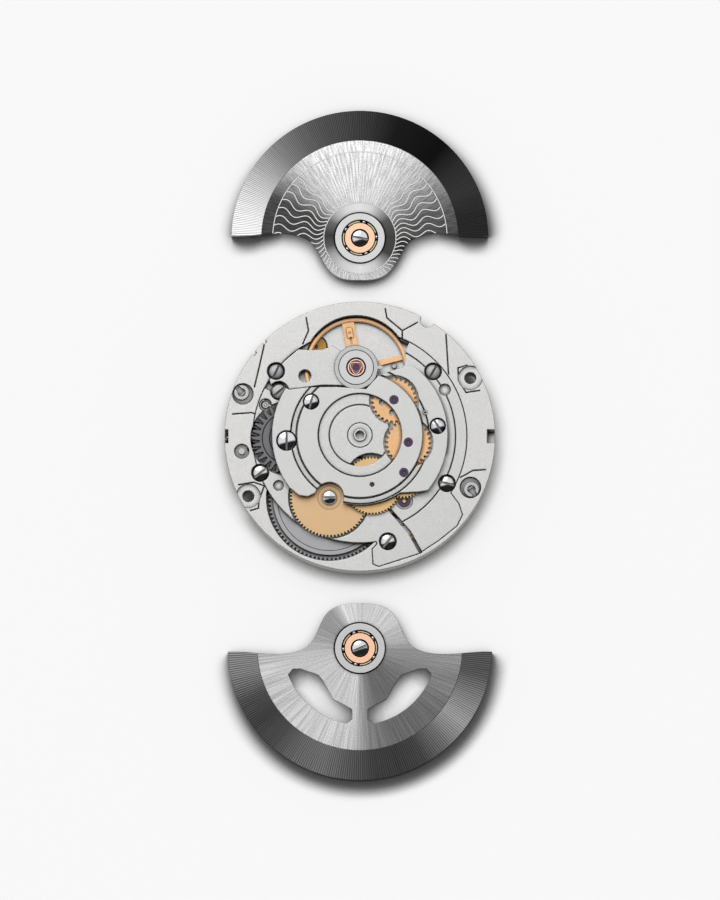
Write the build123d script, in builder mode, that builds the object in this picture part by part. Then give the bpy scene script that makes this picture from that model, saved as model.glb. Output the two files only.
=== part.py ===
from build123d import *
import os
from math import acos, asin, atan2, cos, degrees, hypot, radians, sin

# Automatic watch movement lying dial side down, with its two winding rotors laid beside it.
# Millimetres, +Z up, the origin under the middle of the movement on the surface it stands on.

# Main plate and the bridges on it
plate_radius = 12.8
dial_seat = 1.1
ring_width = 2.65
web_thickness = 0.5
bridge_thickness = 0.68
cock_thickness = 0.86
cover_thickness = 0.2
cover_radius = plate_radius * 0.71875
ledge_width = 0.8
bridge_gap = 0.06
slit = 0.3
line_width = 0.1
line_depth = 0.16

# Air between wheels on neighbouring levels, and the clearances of what turns, slides and seats
air = 0.05
running = 0.02
well_gap = 0.13
overrun = 1.0

# Thicknesses of the wheels and the pinions on them
thin_wheel = 0.1
dial_wheel = 0.1
auto_wheel = 0.16
ratchet_thickness = 0.22
escape_thickness = 0.12
pallet_bridge_thickness = 0.13
balance_thickness = 0.24
drum_height = 1.0
barrel_rim_thickness = 0.3
auto_bridge_thickness = 0.45
step_depth = 0.14

# Arbors, pivots and jewels
arbor_radius = 0.2
pivot_radius = 0.09
jewel_radius = 0.42
jewel_thickness = 0.22
large_jewel_radius = 0.6
hour_post_radius = 0.75
minute_post_radius = 0.45
seconds_post_radius = 0.125
tube_wall = 0.2
cover_hole_radius = 1.32
hour_post_end = 0.42
minute_post_end = 0.18

# Teeth: counts, and modules that follow the plate, so that the trains keep their places on it
auto_module = plate_radius * 0.011859375
reverser_teeth = 28
rotor_gear_teeth = 33
inner_module = plate_radius * 0.0078125
reverser_pinion_teeth = 12
intermediate_teeth = 46
intermediate_pinion_teeth = 10
reduction_teeth = 54
ratchet_module = plate_radius * 0.0083828125
reduction_pinion_teeth = 10
ratchet_teeth = 68
crown_upper_teeth = 60
crown_face_teeth = 30
crown_radius = plate_radius * 0.265625
face_tooth = 0.07
barrel_module = plate_radius * 0.0101328125
barrel_teeth = 88
great_pinion_teeth = 21
great_module = plate_radius * 0.0080078125
great_teeth = 72
third_pinion_teeth = 8
third_module = plate_radius * 0.005859375
third_teeth = 80
seconds_pinion_teeth = 12
seconds_module = plate_radius * 0.00546875
seconds_teeth = 72
escape_pinion_teeth = 8
driver_module = plate_radius * 0.00673828125
driver_teeth = 72
driver_pinion_teeth = 8
minute_module = plate_radius * 0.0078125
cannon_teeth = 12
minute_teeth = 36
setting_teeth = 20
hour_teeth = 40
minute_pinion_teeth = 10

# Escapement and balance
escape_radius = plate_radius * 0.15625
escape_teeth = 20
balance_radius = plate_radius * 0.37890625
rim_width = 0.26
wide_arm = 1.15
narrow_arm = 0.48
roller_radius = 0.7
impulse_orbit = 0.52
impulse_radius = 0.09
staff_radius = 0.14
collet_radius = 0.42
spring_turns = 11
spring_thickness = 0.05
spring_pitch = 0.17
spring_height = 0.14
cock_end_radius = 2.1
block_radius = 1.62
block_bore = 0.94
setting_radius = 0.86

# Winding and setting
stem_radius = 0.42
stem_height = 2.55
stem_square = 0.3
winding_pinion_radius = 1.24
winding_pinion_teeth = 14
winding_pinion_length = 1.0
sliding_pinion_radius = 0.78
sliding_pinion_length = 1.3
stem_travel = 1.0
setting_plate = 0.2

# Screw heads: radius, height, shank radius and slot width
head_radius = 0.7
head_height = 0.34
shank_radius = 0.3
slot_width = 0.2
dome_share = 0.24
big_head_radius = 0.9
core_radius = 1.1
click_hub = 0.3
click_post = 0.12
click_lead = 6.5

# Mainspring in its barrel
drum_wall = 0.32
drum_floor = 0.12
cover_lid = 0.12
core_turn_radius = 1.3
mainspring_turns = 9
mainspring_thickness = 0.12

# Winding rotors
rotor_a_radius = 12.2
rotor_b_radius = 12.5
rotor_a_place = 19.2
rotor_b_place = -19.88
rotor_a_inner = 9.36
rotor_b_inner = 9.69
rim_height = 1.6
rotor_plate_thickness = 0.42
boss_height = 0.75
race_outer = 2.36
race_inner = 1.74
race_top = 1.74
race_low = 0.66
cone_radius = 0.83
inner_race_radius = 1.42
inner_race_bore = 0.62
ball_radius = 0.25
ball_count = 5
gear_low = 0.12
gear_top = 0.52
rotor_head_radius = 0.78
rotor_shank_radius = 0.38

# Places on the movement, as the share of the plate's radius from its middle and the angle in degrees
cock_screw_shares = (0.785, 142)
bridge_screw_shares = [(0.684, 150.8), (0.724, 41.7), (0.73, -28.5), (0.806, -75.2), (0.782, -159.8)]
auto_screw_shares = [(0.437, 145.4), (0.578, 6.6)]
big_screw_shares = (0.542, -175.6)
balance_shares = (0.511, 93.1)
great_wheel_direction = -2.4
first_reverser_direction = 45.9
intermediate_direction = -98.5
reduction_direction = -159.3
ratchet_direction = -164.3
crown_direction = 124.8
escape_direction = 30
land_hole_shares = [(0.717, 28.9), (0.702, -148.7)]
dial_foot_shares = [(0.924, 28.0), (0.935, -151.7)]
pin_shares = [(0.591, 64.6), (0.509, 19.0), (0.879, -172.7)]


def spot(share, angle):
    """A place on the movement from its share of the plate's radius and its angle."""
    return (plate_radius * share * cos(radians(angle)), plate_radius * share * sin(radians(angle)))


def spots(shares):
    return [spot(share, angle) for share, angle in shares]


def step(place, reach, angle):
    """The place that lies a reach away from another, in a direction."""
    return (place[0] + reach * cos(radians(angle)), place[1] + reach * sin(radians(angle)))


def reach_between(a, b):
    return hypot(b[0] - a[0], b[1] - a[1])


def direction(a, b):
    return degrees(atan2(b[1] - a[1], b[0] - a[0]))


def meeting(a, reach_a, b, reach_b):
    """The place at one reach from a and another from b, on the left of the way from a to b."""
    apart = reach_between(a, b)
    corner = (reach_a**2 + apart**2 - reach_b**2) / (2 * reach_a * apart)
    return step(a, reach_a, direction(a, b) + degrees(acos(corner)))


def centres(module, teeth_a, teeth_b):
    """Distance between the axes of two wheels in mesh."""
    return module * (teeth_a + teeth_b) / 2


def mesh_turn(turn, teeth, next_teeth, way):
    """Angle of a tooth of the next wheel, so that its gap meets a tooth of the wheel before it."""
    return way + 180 - (turn - way) * teeth / next_teeth + 180 / next_teeth


def level(place, height):
    return Plane(origin=(place[0], place[1], height))


# Heights, chained from the dial seat upwards
cover_top = dial_seat + cover_thickness
hour_low = cover_top + air
minute_low = hour_low + dial_wheel + air
driver_low = minute_low + dial_wheel + air
web_low = driver_low + dial_wheel + air
floor = web_low + web_thickness
escape_low = floor + 2 * air
pallet_bridge_low = escape_low + escape_thickness + air
balance_low = pallet_bridge_low + pallet_bridge_thickness + air
balance_top = balance_low + balance_thickness
barrel_low = web_low + web_thickness / 2
barrel_top = barrel_low + drum_height
wheel_low = max(barrel_top, balance_top) + air
third_low = wheel_low + thin_wheel + air
bridge_low = third_low + thin_wheel + air
bridge_top = bridge_low + bridge_thickness
cock_top = bridge_low + cock_thickness
ratchet_low = bridge_top - ratchet_thickness
reduction_low = bridge_top + 2 * air
intermediate_low = reduction_low + auto_wheel + air
reverser_low = intermediate_low + auto_wheel + air
crown_low = ratchet_low - face_tooth
crown_top = bridge_top + 3 * air
auto_low = reverser_low + auto_wheel + 2 * air
auto_top = auto_low + auto_bridge_thickness

# Radii of the plate's cavity and of the bridges in it
cavity_radius = plate_radius - ring_width
bridge_radius = cavity_radius - bridge_gap
ledge_radius = cavity_radius - ledge_width

# Automatic winding train, from the middle outwards
middle = (0, 0)
reverser_reach = centres(auto_module, rotor_gear_teeth, reverser_teeth)
reverser_spread = 2 * degrees(asin(auto_module * reverser_teeth / 2 / reverser_reach))
reverser_1_place = step(middle, reverser_reach, first_reverser_direction)
reverser_2_place = step(middle, reverser_reach, first_reverser_direction - reverser_spread)
intermediate_place = step(
    reverser_2_place, centres(inner_module, reverser_pinion_teeth, intermediate_teeth), intermediate_direction
)
reduction_place = step(
    intermediate_place, centres(inner_module, intermediate_pinion_teeth, reduction_teeth), reduction_direction
)
barrel_place = step(
    reduction_place, centres(ratchet_module, reduction_pinion_teeth, ratchet_teeth), ratchet_direction
)
crown_place = step(barrel_place, centres(ratchet_module, ratchet_teeth, crown_upper_teeth), crown_direction)

# Going train, from the barrel to the escapement
great_place = step(barrel_place, centres(barrel_module, barrel_teeth, great_pinion_teeth),
                   great_wheel_direction)
third_place = meeting(
    middle,
    centres(third_module, third_teeth, seconds_pinion_teeth),
    great_place,
    centres(great_module, great_teeth, third_pinion_teeth),
)
escape_place = step(middle, centres(seconds_module, seconds_teeth, escape_pinion_teeth), escape_direction)
balance_place = spot(*balance_shares)
escape_way = direction(escape_place, balance_place)
pallet_place = step(escape_place, escape_radius * 1.17, escape_way)
minute_place = step(middle, centres(minute_module, cannon_teeth, minute_teeth), 180)
setting_place = step(minute_place, centres(minute_module, minute_teeth, setting_teeth), 180)

# Radii that follow from the teeth
barrel_pitch = barrel_module * barrel_teeth / 2
drum_radius = barrel_pitch - 3 * barrel_module
well_radius = barrel_pitch + barrel_module + well_gap
balance_well = balance_radius + well_gap
ratchet_pitch = ratchet_module * ratchet_teeth / 2
crown_recess = crown_radius + well_gap
great_recess = great_module * (great_teeth + 2) / 2 + well_gap
driver_recess = driver_module * (driver_teeth + 2) / 2 + well_gap
reverser_tip = auto_module * (reverser_teeth + 2) / 2


def gear(place, height, teeth, module, turn, bore=0, root_share=1.15, tip_share=0.9):
    """Face of a wheel with straight-sided teeth, one tooth at the given angle."""
    pitch = module * teeth / 2
    root = pitch - root_share * module
    tip = pitch + tip_share * module
    spacing = 360 / teeth
    corners = []
    for tooth in range(teeth):
        way = turn + tooth * spacing
        for radius, side_share in ((root, -0.33), (tip, -0.12), (tip, 0.12), (root, 0.33)):
            corners.append(step(middle, radius, way + side_share * spacing))
    with BuildSketch(level(place, height)) as face:
        with BuildLine():
            Polyline(*corners, close=True)
        make_face()
        if bore:
            Circle(bore, mode=Mode.SUBTRACT)
    return face.sketch


def spokes(place, height, inner, outer, count, arm, turn=0):
    """Windows between the spokes of a wheel."""
    with BuildSketch(level(place, height)) as windows:
        Circle(outer)
        Circle(inner, mode=Mode.SUBTRACT)
        for spoke in range(count):
            with Locations(Rotation(0, 0, turn + spoke * 360 / count)):
                with Locations((outer / 2, 0)):
                    Rectangle(outer * 1.2, arm, mode=Mode.SUBTRACT)
    return windows.sketch


def disc(place, low, high, radius, mode=Mode.ADD):
    with BuildSketch(level(place, low)) as face:
        Circle(radius)
    extrude(face.sketch, amount=high - low, mode=mode)


def ring(place, low, high, outer, inner, mode=Mode.ADD):
    with BuildSketch(level(place, low)) as face:
        Circle(outer)
        Circle(inner, mode=Mode.SUBTRACT)
    extrude(face.sketch, amount=high - low, mode=mode)


def block(place, low, high, length, width, turn=0, mode=Mode.ADD):
    with BuildSketch(level(place, low)) as face:
        Rectangle(length, width, rotation=turn)
    extrude(face.sketch, amount=high - low, mode=mode)


def groove(points, top, width=line_width, depth=line_depth):
    """Narrow line cut along a path of straight runs."""
    with BuildSketch(Plane.XY.offset(top - depth)) as mark:
        with BuildLine() as path:
            Polyline(*points)
        trace(path.line, line_width=width)
    extrude(mark.sketch, amount=depth + overrun, mode=Mode.SUBTRACT)


def polygon(points, low, high, mode=Mode.ADD):
    with BuildSketch(Plane.XY.offset(low)) as face:
        with BuildLine():
            Polyline(*points, close=True)
        make_face()
    extrude(face.sketch, amount=high - low, mode=mode)


def screw(place, seat, low, turn, radius=head_radius, height=head_height, shank=shank_radius):
    """Slotted screw with a chamfered, slightly domed head on its seat."""
    rise = height * dome_share
    brim = radius - height * 0.15
    with BuildSketch(Plane.XZ) as half:
        with BuildLine():
            Polyline(
                (0, seat + height),
                (0, low),
                (shank, low),
                (shank, seat),
                (radius, seat),
                (radius, seat + height * 0.85 - rise),
                (brim, seat + height - rise),
            )
            ThreePointArc((brim, seat + height - rise), (brim / 2, seat + height - rise / 4),
                          (0, seat + height))
        make_face()
    turned = revolve(half.sketch, axis=Axis.Z, mode=Mode.PRIVATE)
    add(Pos(place[0], place[1]) * turned)
    block(place, seat + height * 0.45, seat + height + overrun, 3 * radius, slot_width, turn, Mode.SUBTRACT)


def jewel(place, top, radius=jewel_radius, thickness=jewel_thickness, hole=pivot_radius + running):
    """Pierced jewel with an oil sink round its hole."""
    ring(place, top - thickness, top, radius, hole)
    disc(place, top - thickness * 0.4, top + overrun, radius * 0.5, Mode.SUBTRACT)


def spiral(place, low, height, start, pitch, turns, thickness, turn=0):
    """Flat spring of half turns about two alternating centres."""
    shift = pitch / 2
    with BuildSketch(Plane(origin=(place[0], place[1], low),
                           x_dir=(cos(radians(turn)), sin(radians(turn)), 0))) as band:
        with BuildLine():
            for half_turn in range(2 * turns):
                odd = half_turn % 2
                CenterArc((odd * shift, 0), start + half_turn * shift, odd * 180, 180)
                CenterArc((odd * shift, 0), start + thickness + half_turn * shift, odd * 180, 180)
            end = start + turns * pitch
            Line((start, 0), (start + thickness, 0))
            Line((end, 0), (end + thickness, 0))
        make_face()
    extrude(band.sketch, amount=height)


os.makedirs("parts", exist_ok=True)


def keep(piece, label):
    piece.part.label = label
    export_step(piece.part, f"parts/{label}.step")


# Screw places
cock_screw_place = spot(*cock_screw_shares)
bridge_screw_places = spots(bridge_screw_shares)
auto_screw_places = spots(auto_screw_shares)
big_screw_place = spot(*big_screw_shares)
land_hole_places = spots(land_hole_shares)
dial_foot_places = spots(dial_foot_shares)
pin_places = spots(pin_shares)
seat_drop = head_height + 2 * air
screw_seat = bridge_top - seat_drop
lobe_radius = head_radius + 2 * air
foot_hole_radius = 0.55
foot_pocket_radius = 1.15

# Line between the barrel bridge and the train bridge, and the outlines that meet it
split_shares = [(1.1, -62.3), (0.8, -62.8), (0.586, -68), (0.28, -56), (0.17, -150), (0.33, 122)]
barrel_side_shares = [(0.40, 122), (0.53, 136.8), (0.628, 148), (0.69, 149), (0.75, 153), (1.1, 153),
                      (1.5, 180)]
barrel_end_shares = [(1.5, -135), (1.5, -90)]
train_side_shares = [(0.37, 108), (0.355, 82), (0.46, 72), (0.5, 68), (0.62, 58), (0.72, 62), (0.9, 63),
                     (1.5, 62)]
train_end_shares = [(1.5, 30), (1.5, 0), (1.5, -30), (1.5, -58)]
cock_shares = [
    (0.79, 148), (0.79, 136.5), (0.79, 125.3), (0.739, 120), (0.70, 113.2), (0.70, 106.2), (0.56, 93),
    (0.391, 105.1), (0.47, 125.9), (0.53, 136.2), (0.628, 146.5), (0.69, 147.5), (0.749, 150.3),
]
lens_shares = [(0.78, 66.2), (0.78, 60.9), (0.743, 56.1), (0.686, 47.8), (0.6, 52), (0.6, 75), (0.75, 80)]

lobe_left_shares = [(0.75, -81), (0.81, -81), (0.843, -83.7), (0.951, -84), (0.973, -81.8), (0.974, -62.3),
                    (0.8, -62.8), (0.75, -64)]
lobe_right_shares = [
    (0.75, -62.9), (0.968, -62.3), (0.965, -53), (0.975, -42.8), (0.953, -37.6), (0.884, -34.5), (0.75, -31),
]

# Main plate
ring_line_shares = [
    [(0.97, 114.2), (0.872, 115.8), (0.804, 121.7)],
    [(0.97, 78.9), (0.902, 77.2), (0.845, 68.2), (0.777, 66.2)],
    [(0.845, 68.2), (0.95, 63.2)],
    [(0.99, 135.2), (0.9, 146), (0.86, 155)],
    [(0.957, 170.1), (0.815, 167.6), (0.79, 168)],
    [(0.968, -158.1), (0.855, -156.5), (0.795, -152.4), (0.882, -147.5), (0.919, -144.5), (0.98, -145.7)],
    [(0.962, -14.9), (0.873, -16.9), (0.80, -22.6)],
    [(0.80, 35), (0.99, 50)],
    [(0.955, 33.6), (0.885, 35), (0.838, 29.6), (0.849, 22.5), (0.95, 21)],
]
lever_pocket_shares = [(0.68, 202), (0.77, 190), (0.77, 180), (0.66, 156), (0.5, 154), (0.48, 180),
                       (0.5, 202)]
left_notch_shares = [(0.992, 135.2), (0.992, 141.6)]
click_place = spot(0.735, 161.5)
click_room = 0.6
pinion_start = -plate_radius * 0.822
pinion_end = pinion_start + winding_pinion_length
sliding_start = pinion_end + 4 * air
sliding_end = sliding_start + sliding_pinion_length
stem_outer = -plate_radius * 0.985
stem_inner = sliding_end + stem_travel + 4 * air

with BuildPart() as main_plate:
    disc(middle, dial_seat, bridge_top, plate_radius)
    disc(middle, floor, bridge_top + overrun, ledge_radius, Mode.SUBTRACT)
    disc(middle, bridge_low, bridge_top + overrun, cavity_radius, Mode.SUBTRACT)
    with BuildSketch(Plane.XY.offset(bridge_low)) as lobes:
        for shares in (lobe_left_shares, lobe_right_shares):
            with BuildLine():
                Polyline(*spots(shares), close=True)
            make_face()
        offset(amount=bridge_gap, kind=Kind.INTERSECTION)
    extrude(lobes.sketch, amount=bridge_thickness + overrun, mode=Mode.SUBTRACT)
    disc(balance_place, floor, bridge_top + overrun, balance_well, Mode.SUBTRACT)
    disc(barrel_place, barrel_low - air, bridge_top + overrun, well_radius, Mode.SUBTRACT)
    polygon(spots(lens_shares), floor, bridge_top + overrun, Mode.SUBTRACT)
    great_pocket = barrel_module * (great_pinion_teeth + 2) / 2 + well_gap
    disc(great_place, barrel_low - air, bridge_top, great_pocket, Mode.SUBTRACT)
    disc(great_place, wheel_low - air, bridge_low, great_recess, Mode.SUBTRACT)
    disc(crown_place, crown_low - air, bridge_top + overrun, crown_recess, Mode.SUBTRACT)
    disc(click_place, crown_low - air, bridge_top + overrun, click_room, Mode.SUBTRACT)
    disc(middle, dial_seat - overrun, cover_top, cover_radius + running, Mode.SUBTRACT)
    disc(middle, cover_top - air, web_low, driver_recess, Mode.SUBTRACT)
    minute_pocket = minute_module * (minute_teeth + 2) / 2 + well_gap
    disc(minute_place, cover_top - air, web_low, minute_pocket, Mode.SUBTRACT)
    setting_pocket = minute_module * (setting_teeth + 2) / 2 + well_gap
    disc(setting_place, cover_top - air, web_low, setting_pocket, Mode.SUBTRACT)
    for place in [cock_screw_place] + bridge_screw_places:
        disc(place, bridge_low, bridge_top + overrun, lobe_radius + bridge_gap, Mode.SUBTRACT)
    # Bores for the centre tube and the arbors
    disc(middle, web_low - overrun, floor + overrun, minute_post_radius, Mode.SUBTRACT)
    for place in (escape_place, pallet_place):
        disc(place, floor - jewel_thickness, floor + overrun, jewel_radius, Mode.SUBTRACT)
        disc(place, web_low, floor, pivot_radius + running, Mode.SUBTRACT)
    disc(great_place, web_low - overrun, barrel_low, large_jewel_radius * 0.7, Mode.SUBTRACT)
    disc(third_place, web_low - overrun, floor + overrun, large_jewel_radius, Mode.SUBTRACT)
    disc(barrel_place, web_low - overrun, barrel_low, large_jewel_radius, Mode.SUBTRACT)
    disc(balance_place, web_low - overrun, floor + overrun, setting_radius, Mode.SUBTRACT)
    # Amber bush under the balance, in a pocket of the web
    bush_place = spot(0.755, 115.4)
    bush_radius = 0.95
    disc(bush_place, floor - jewel_thickness, floor + overrun, bush_radius + well_gap, Mode.SUBTRACT)
    # Keyless works: stem bore, pinion cavity, and the recess of the levers on the dial side
    lever_top = stem_height - sliding_pinion_radius
    with BuildSketch(Plane.YZ.offset(stem_inner + overrun)) as stem_bore:
        with Locations((0, stem_height)):
            Circle(stem_radius + running)
    extrude(stem_bore.sketch, amount=-plate_radius, mode=Mode.SUBTRACT)
    pinion_centre = ((pinion_start + sliding_end + stem_travel) / 2, 0)
    pinion_room = sliding_end + stem_travel - pinion_start + 4 * air
    room_width = 2 * (winding_pinion_radius + well_gap)
    block(pinion_centre, cover_top - air, bridge_low, pinion_room, room_width, 0, Mode.SUBTRACT)
    block((pinion_start + winding_pinion_length / 2, 0), bridge_low - air,
          stem_height + winding_pinion_radius + air,
          winding_pinion_length + 4 * air, room_width, 0, Mode.SUBTRACT)
    # Pockets of the setting lever and the yoke, open towards the dial
    lever_place = spot(0.62, 196)
    yoke_place = spot(0.56, 160)
    polygon(spots(lever_pocket_shares), cover_top - air, lever_top, Mode.SUBTRACT)
    # Outline: stem notch, scallop, right notch and small steps
    block((-plate_radius, 0), stem_height, bridge_top + overrun, plate_radius * 0.055, plate_radius * 0.1, 0,
          Mode.SUBTRACT)
    disc(spot(0.995, 60), dial_seat - overrun, bridge_top + overrun, plate_radius * 0.052, Mode.SUBTRACT)
    block(spot(0.98, 0), dial_seat + web_thickness, bridge_top + overrun, plate_radius * 0.08,
          plate_radius * 0.1, 0,
          Mode.SUBTRACT)
    for place in spots(left_notch_shares):
        block(place, dial_seat + web_thickness, bridge_top + overrun, plate_radius * 0.03,
              plate_radius * 0.02, 50,
              Mode.SUBTRACT)
    # Dial foot holes in their pockets
    for place in dial_foot_places:
        disc(place, dial_seat - overrun, bridge_top + overrun, foot_hole_radius, Mode.SUBTRACT)
        disc(place, bridge_top - line_depth, bridge_top + overrun, foot_pocket_radius, Mode.SUBTRACT)
    # Holes of the screws and pins
    for place in [cock_screw_place] + bridge_screw_places:
        disc(place, floor, bridge_low + overrun, shank_radius, Mode.SUBTRACT)
    disc(pin_places[2], bridge_top - 2 * line_depth, bridge_top + overrun, head_radius, Mode.SUBTRACT)
    disc(pin_places[0], floor - web_thickness / 2, floor + overrun, arbor_radius, Mode.SUBTRACT)
    for line in ring_line_shares:
        groove(spots(line), bridge_top)
    # Pockets of the two dial locks
    lock_shares = [(0.9, -25), (0.92, 160)]
    lock_radius = plate_radius * 0.075
    for place in spots(lock_shares):
        disc(place, bridge_top - 3 * line_depth, bridge_top + overrun, lock_radius + 2 * running,
             Mode.SUBTRACT)
keep(main_plate, "main_plate")

with BuildPart() as dial_cover:
    disc(middle, dial_seat, cover_top, cover_radius)
    disc(middle, dial_seat - overrun, cover_top + overrun, cover_hole_radius, Mode.SUBTRACT)
    disc(third_place, dial_seat + cover_thickness / 2, cover_top + overrun, arbor_radius, Mode.SUBTRACT)
    disc(minute_place, cover_top, minute_low + dial_wheel, pivot_radius)
    for place in (lever_place, yoke_place):
        disc(place, dial_seat - overrun, cover_top + overrun, shank_radius, Mode.SUBTRACT)
    for way in (20, 90, 250, 310):
        disc(step(middle, cover_radius * 0.62, way), dial_seat - overrun, cover_top + overrun,
             cover_radius * 0.12,
             Mode.SUBTRACT)
keep(dial_cover, "dial_cover")

# Bridges of the going train
recess_floor = ratchet_low - air
reduction_room = ratchet_module * (reduction_pinion_teeth + 2) / 2 + well_gap

with BuildPart() as barrel_bridge:
    with BuildSketch(Plane.XY.offset(bridge_low)):
        Circle(bridge_radius)
        with BuildLine():
            Polyline(*spots(split_shares + barrel_side_shares + barrel_end_shares), close=True)
        make_face(mode=Mode.INTERSECT)
        with BuildLine():
            Polyline(*spots(lobe_left_shares), close=True)
        make_face()
        with Locations(*[bridge_screw_places[index] for index in (0, 3, 4)]):
            Circle(lobe_radius)
        with BuildLine() as split_line:
            Polyline(*spots(split_shares))
        trace(split_line.line, line_width=slit, mode=Mode.SUBTRACT)
    extrude(amount=bridge_thickness)
    disc(barrel_place, recess_floor, bridge_top + overrun, ratchet_pitch + ratchet_module + well_gap,
         Mode.SUBTRACT)
    disc(crown_place, crown_low - air, bridge_top + overrun, crown_recess, Mode.SUBTRACT)
    block((pinion_start + winding_pinion_length / 2, 0), bridge_low - overrun, bridge_top + overrun,
          winding_pinion_length + 6 * air, room_width, 0, Mode.SUBTRACT)
    disc(barrel_place, bridge_low - overrun, bridge_top + overrun, large_jewel_radius, Mode.SUBTRACT)
    for place in [bridge_screw_places[index] for index in (0, 3, 4)]:
        disc(place, bridge_low - overrun, bridge_top + overrun, shank_radius, Mode.SUBTRACT)
        disc(place, screw_seat, bridge_top + overrun, head_radius + well_gap, Mode.SUBTRACT)
    disc(land_hole_places[1], bridge_top - bridge_thickness / 2, bridge_top + overrun, foot_hole_radius * 0.9,
         Mode.SUBTRACT)
    # Pocket of the click and its spring, with the click's post
    disc(click_place, crown_low - air, bridge_top + overrun, click_room, Mode.SUBTRACT)
    disc(click_place, crown_low - 2 * air, bridge_top - line_depth / 2, click_post)
    disc(reduction_place, recess_floor, bridge_top + overrun, reduction_room, Mode.SUBTRACT)
    disc(reduction_place, bridge_low - overrun, bridge_top, pivot_radius + running, Mode.SUBTRACT)
keep(barrel_bridge, "barrel_bridge")

train_jewel_places = [great_place, third_place, middle, escape_place]

with BuildPart() as train_bridge:
    with BuildSketch(Plane.XY.offset(bridge_low)):
        Circle(bridge_radius)
        with BuildLine():
            Polyline(*spots(split_shares + train_side_shares + train_end_shares), close=True)
        make_face(mode=Mode.INTERSECT)
        with BuildLine():
            Polyline(*spots(lobe_right_shares), close=True)
        make_face()
        with Locations(*[bridge_screw_places[index] for index in (1, 2)]):
            Circle(lobe_radius)
        with BuildLine() as split_line:
            Polyline(*spots(split_shares))
        trace(split_line.line, line_width=slit, mode=Mode.SUBTRACT)
    extrude(amount=bridge_thickness)
    disc(barrel_place, recess_floor, bridge_top + overrun, ratchet_pitch + ratchet_module + well_gap,
         Mode.SUBTRACT)
    disc(balance_place, bridge_low - overrun, bridge_top + overrun, cock_end_radius + slit / 2, Mode.SUBTRACT)
    for place in [bridge_screw_places[index] for index in (1, 2)]:
        disc(place, bridge_low - overrun, bridge_top + overrun, shank_radius, Mode.SUBTRACT)
        disc(place, screw_seat, bridge_top + overrun, head_radius + well_gap, Mode.SUBTRACT)
    disc(land_hole_places[0], bridge_top - bridge_thickness / 2, bridge_top + overrun, foot_hole_radius,
         Mode.SUBTRACT)
    disc(great_place, bridge_top - line_depth, bridge_top + overrun, large_jewel_radius * 1.35, Mode.SUBTRACT)
    disc(great_place, bridge_low - overrun, bridge_top, large_jewel_radius, Mode.SUBTRACT)
    for place in train_jewel_places[1:]:
        disc(place, bridge_low - overrun, bridge_low + jewel_thickness, jewel_radius, Mode.SUBTRACT)
    for place in (reverser_1_place, reverser_2_place, intermediate_place):
        disc(place, bridge_top - jewel_thickness, bridge_top + overrun, jewel_radius, Mode.SUBTRACT)
    ring(middle, bridge_top - line_depth, bridge_top + overrun, plate_radius * 0.71, plate_radius * 0.703,
         Mode.SUBTRACT)
keep(train_bridge, "train_bridge")

block_top = cock_top + 2 * air
block_low = bridge_low + cock_thickness * 0.2
setting_low = block_low + jewel_thickness + 2 * air
with BuildPart() as balance_cock:
    with BuildSketch(Plane.XY.offset(bridge_low)):
        with BuildLine():
            Polyline(*spots(cock_shares), close=True)
        make_face()
        Circle(bridge_radius, mode=Mode.INTERSECT)
        with Locations(balance_place):
            Circle(cock_end_radius)
        with Locations(cock_screw_place):
            Circle(lobe_radius)
        with Locations(bridge_screw_places[0]):
            Circle(head_radius + 2 * well_gap, mode=Mode.SUBTRACT)
    extrude(amount=cock_thickness)
    disc(balance_place, bridge_low - overrun, cock_top + overrun, block_radius, Mode.SUBTRACT)
    disc(cock_screw_place, bridge_low - overrun, cock_top + overrun, shank_radius, Mode.SUBTRACT)
    disc(cock_screw_place, screw_seat, cock_top + overrun, head_radius + well_gap, Mode.SUBTRACT)
    cock_hole_place = spot(0.604, 132.2)
    cock_hole_radius = 0.6
    disc(cock_hole_place, bridge_low - overrun, cock_top + overrun, cock_hole_radius, Mode.SUBTRACT)
keep(balance_cock, "balance_cock")

# Automatic bridge: a disc on a wall, stepped rings, and windows over the wheels
ring_shares = [(0.4625, 0.474), (0.506, 0.514)]
auto_radius = plate_radius * 0.648
wall_width = 0.9
auto_top_shares = [
    (0.66, 147.6), (0.622, 147.2), (0.522, 137.2), (0.395, 115.3), (0.344, 82.4), (0.464, 72.5), (0.498,
                                                                                                  68.1),
    (0.634, 54.6), (0.70, 52), (1.2, 70), (1.2, 110), (1.0, 147.6),
]
auto_left_shares = [(0.8, -139), (0.645, -142), (0.633, -135.3), (0.595, -130.1), (0.513, -126.1),
                    (0.515, -103)]
auto_right_shares = [(0.519, -55.6), (0.605, -44.1), (0.66, -38), (0.9, -38), (1.0, -90)]
lens_place = spot(0.327, -75.5)
inner_step = plate_radius * 0.23
outer_step = plate_radius * 0.311
ring_outer = plate_radius * ring_shares[0][0]
ring_inner = plate_radius * ring_shares[1][0]

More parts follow.
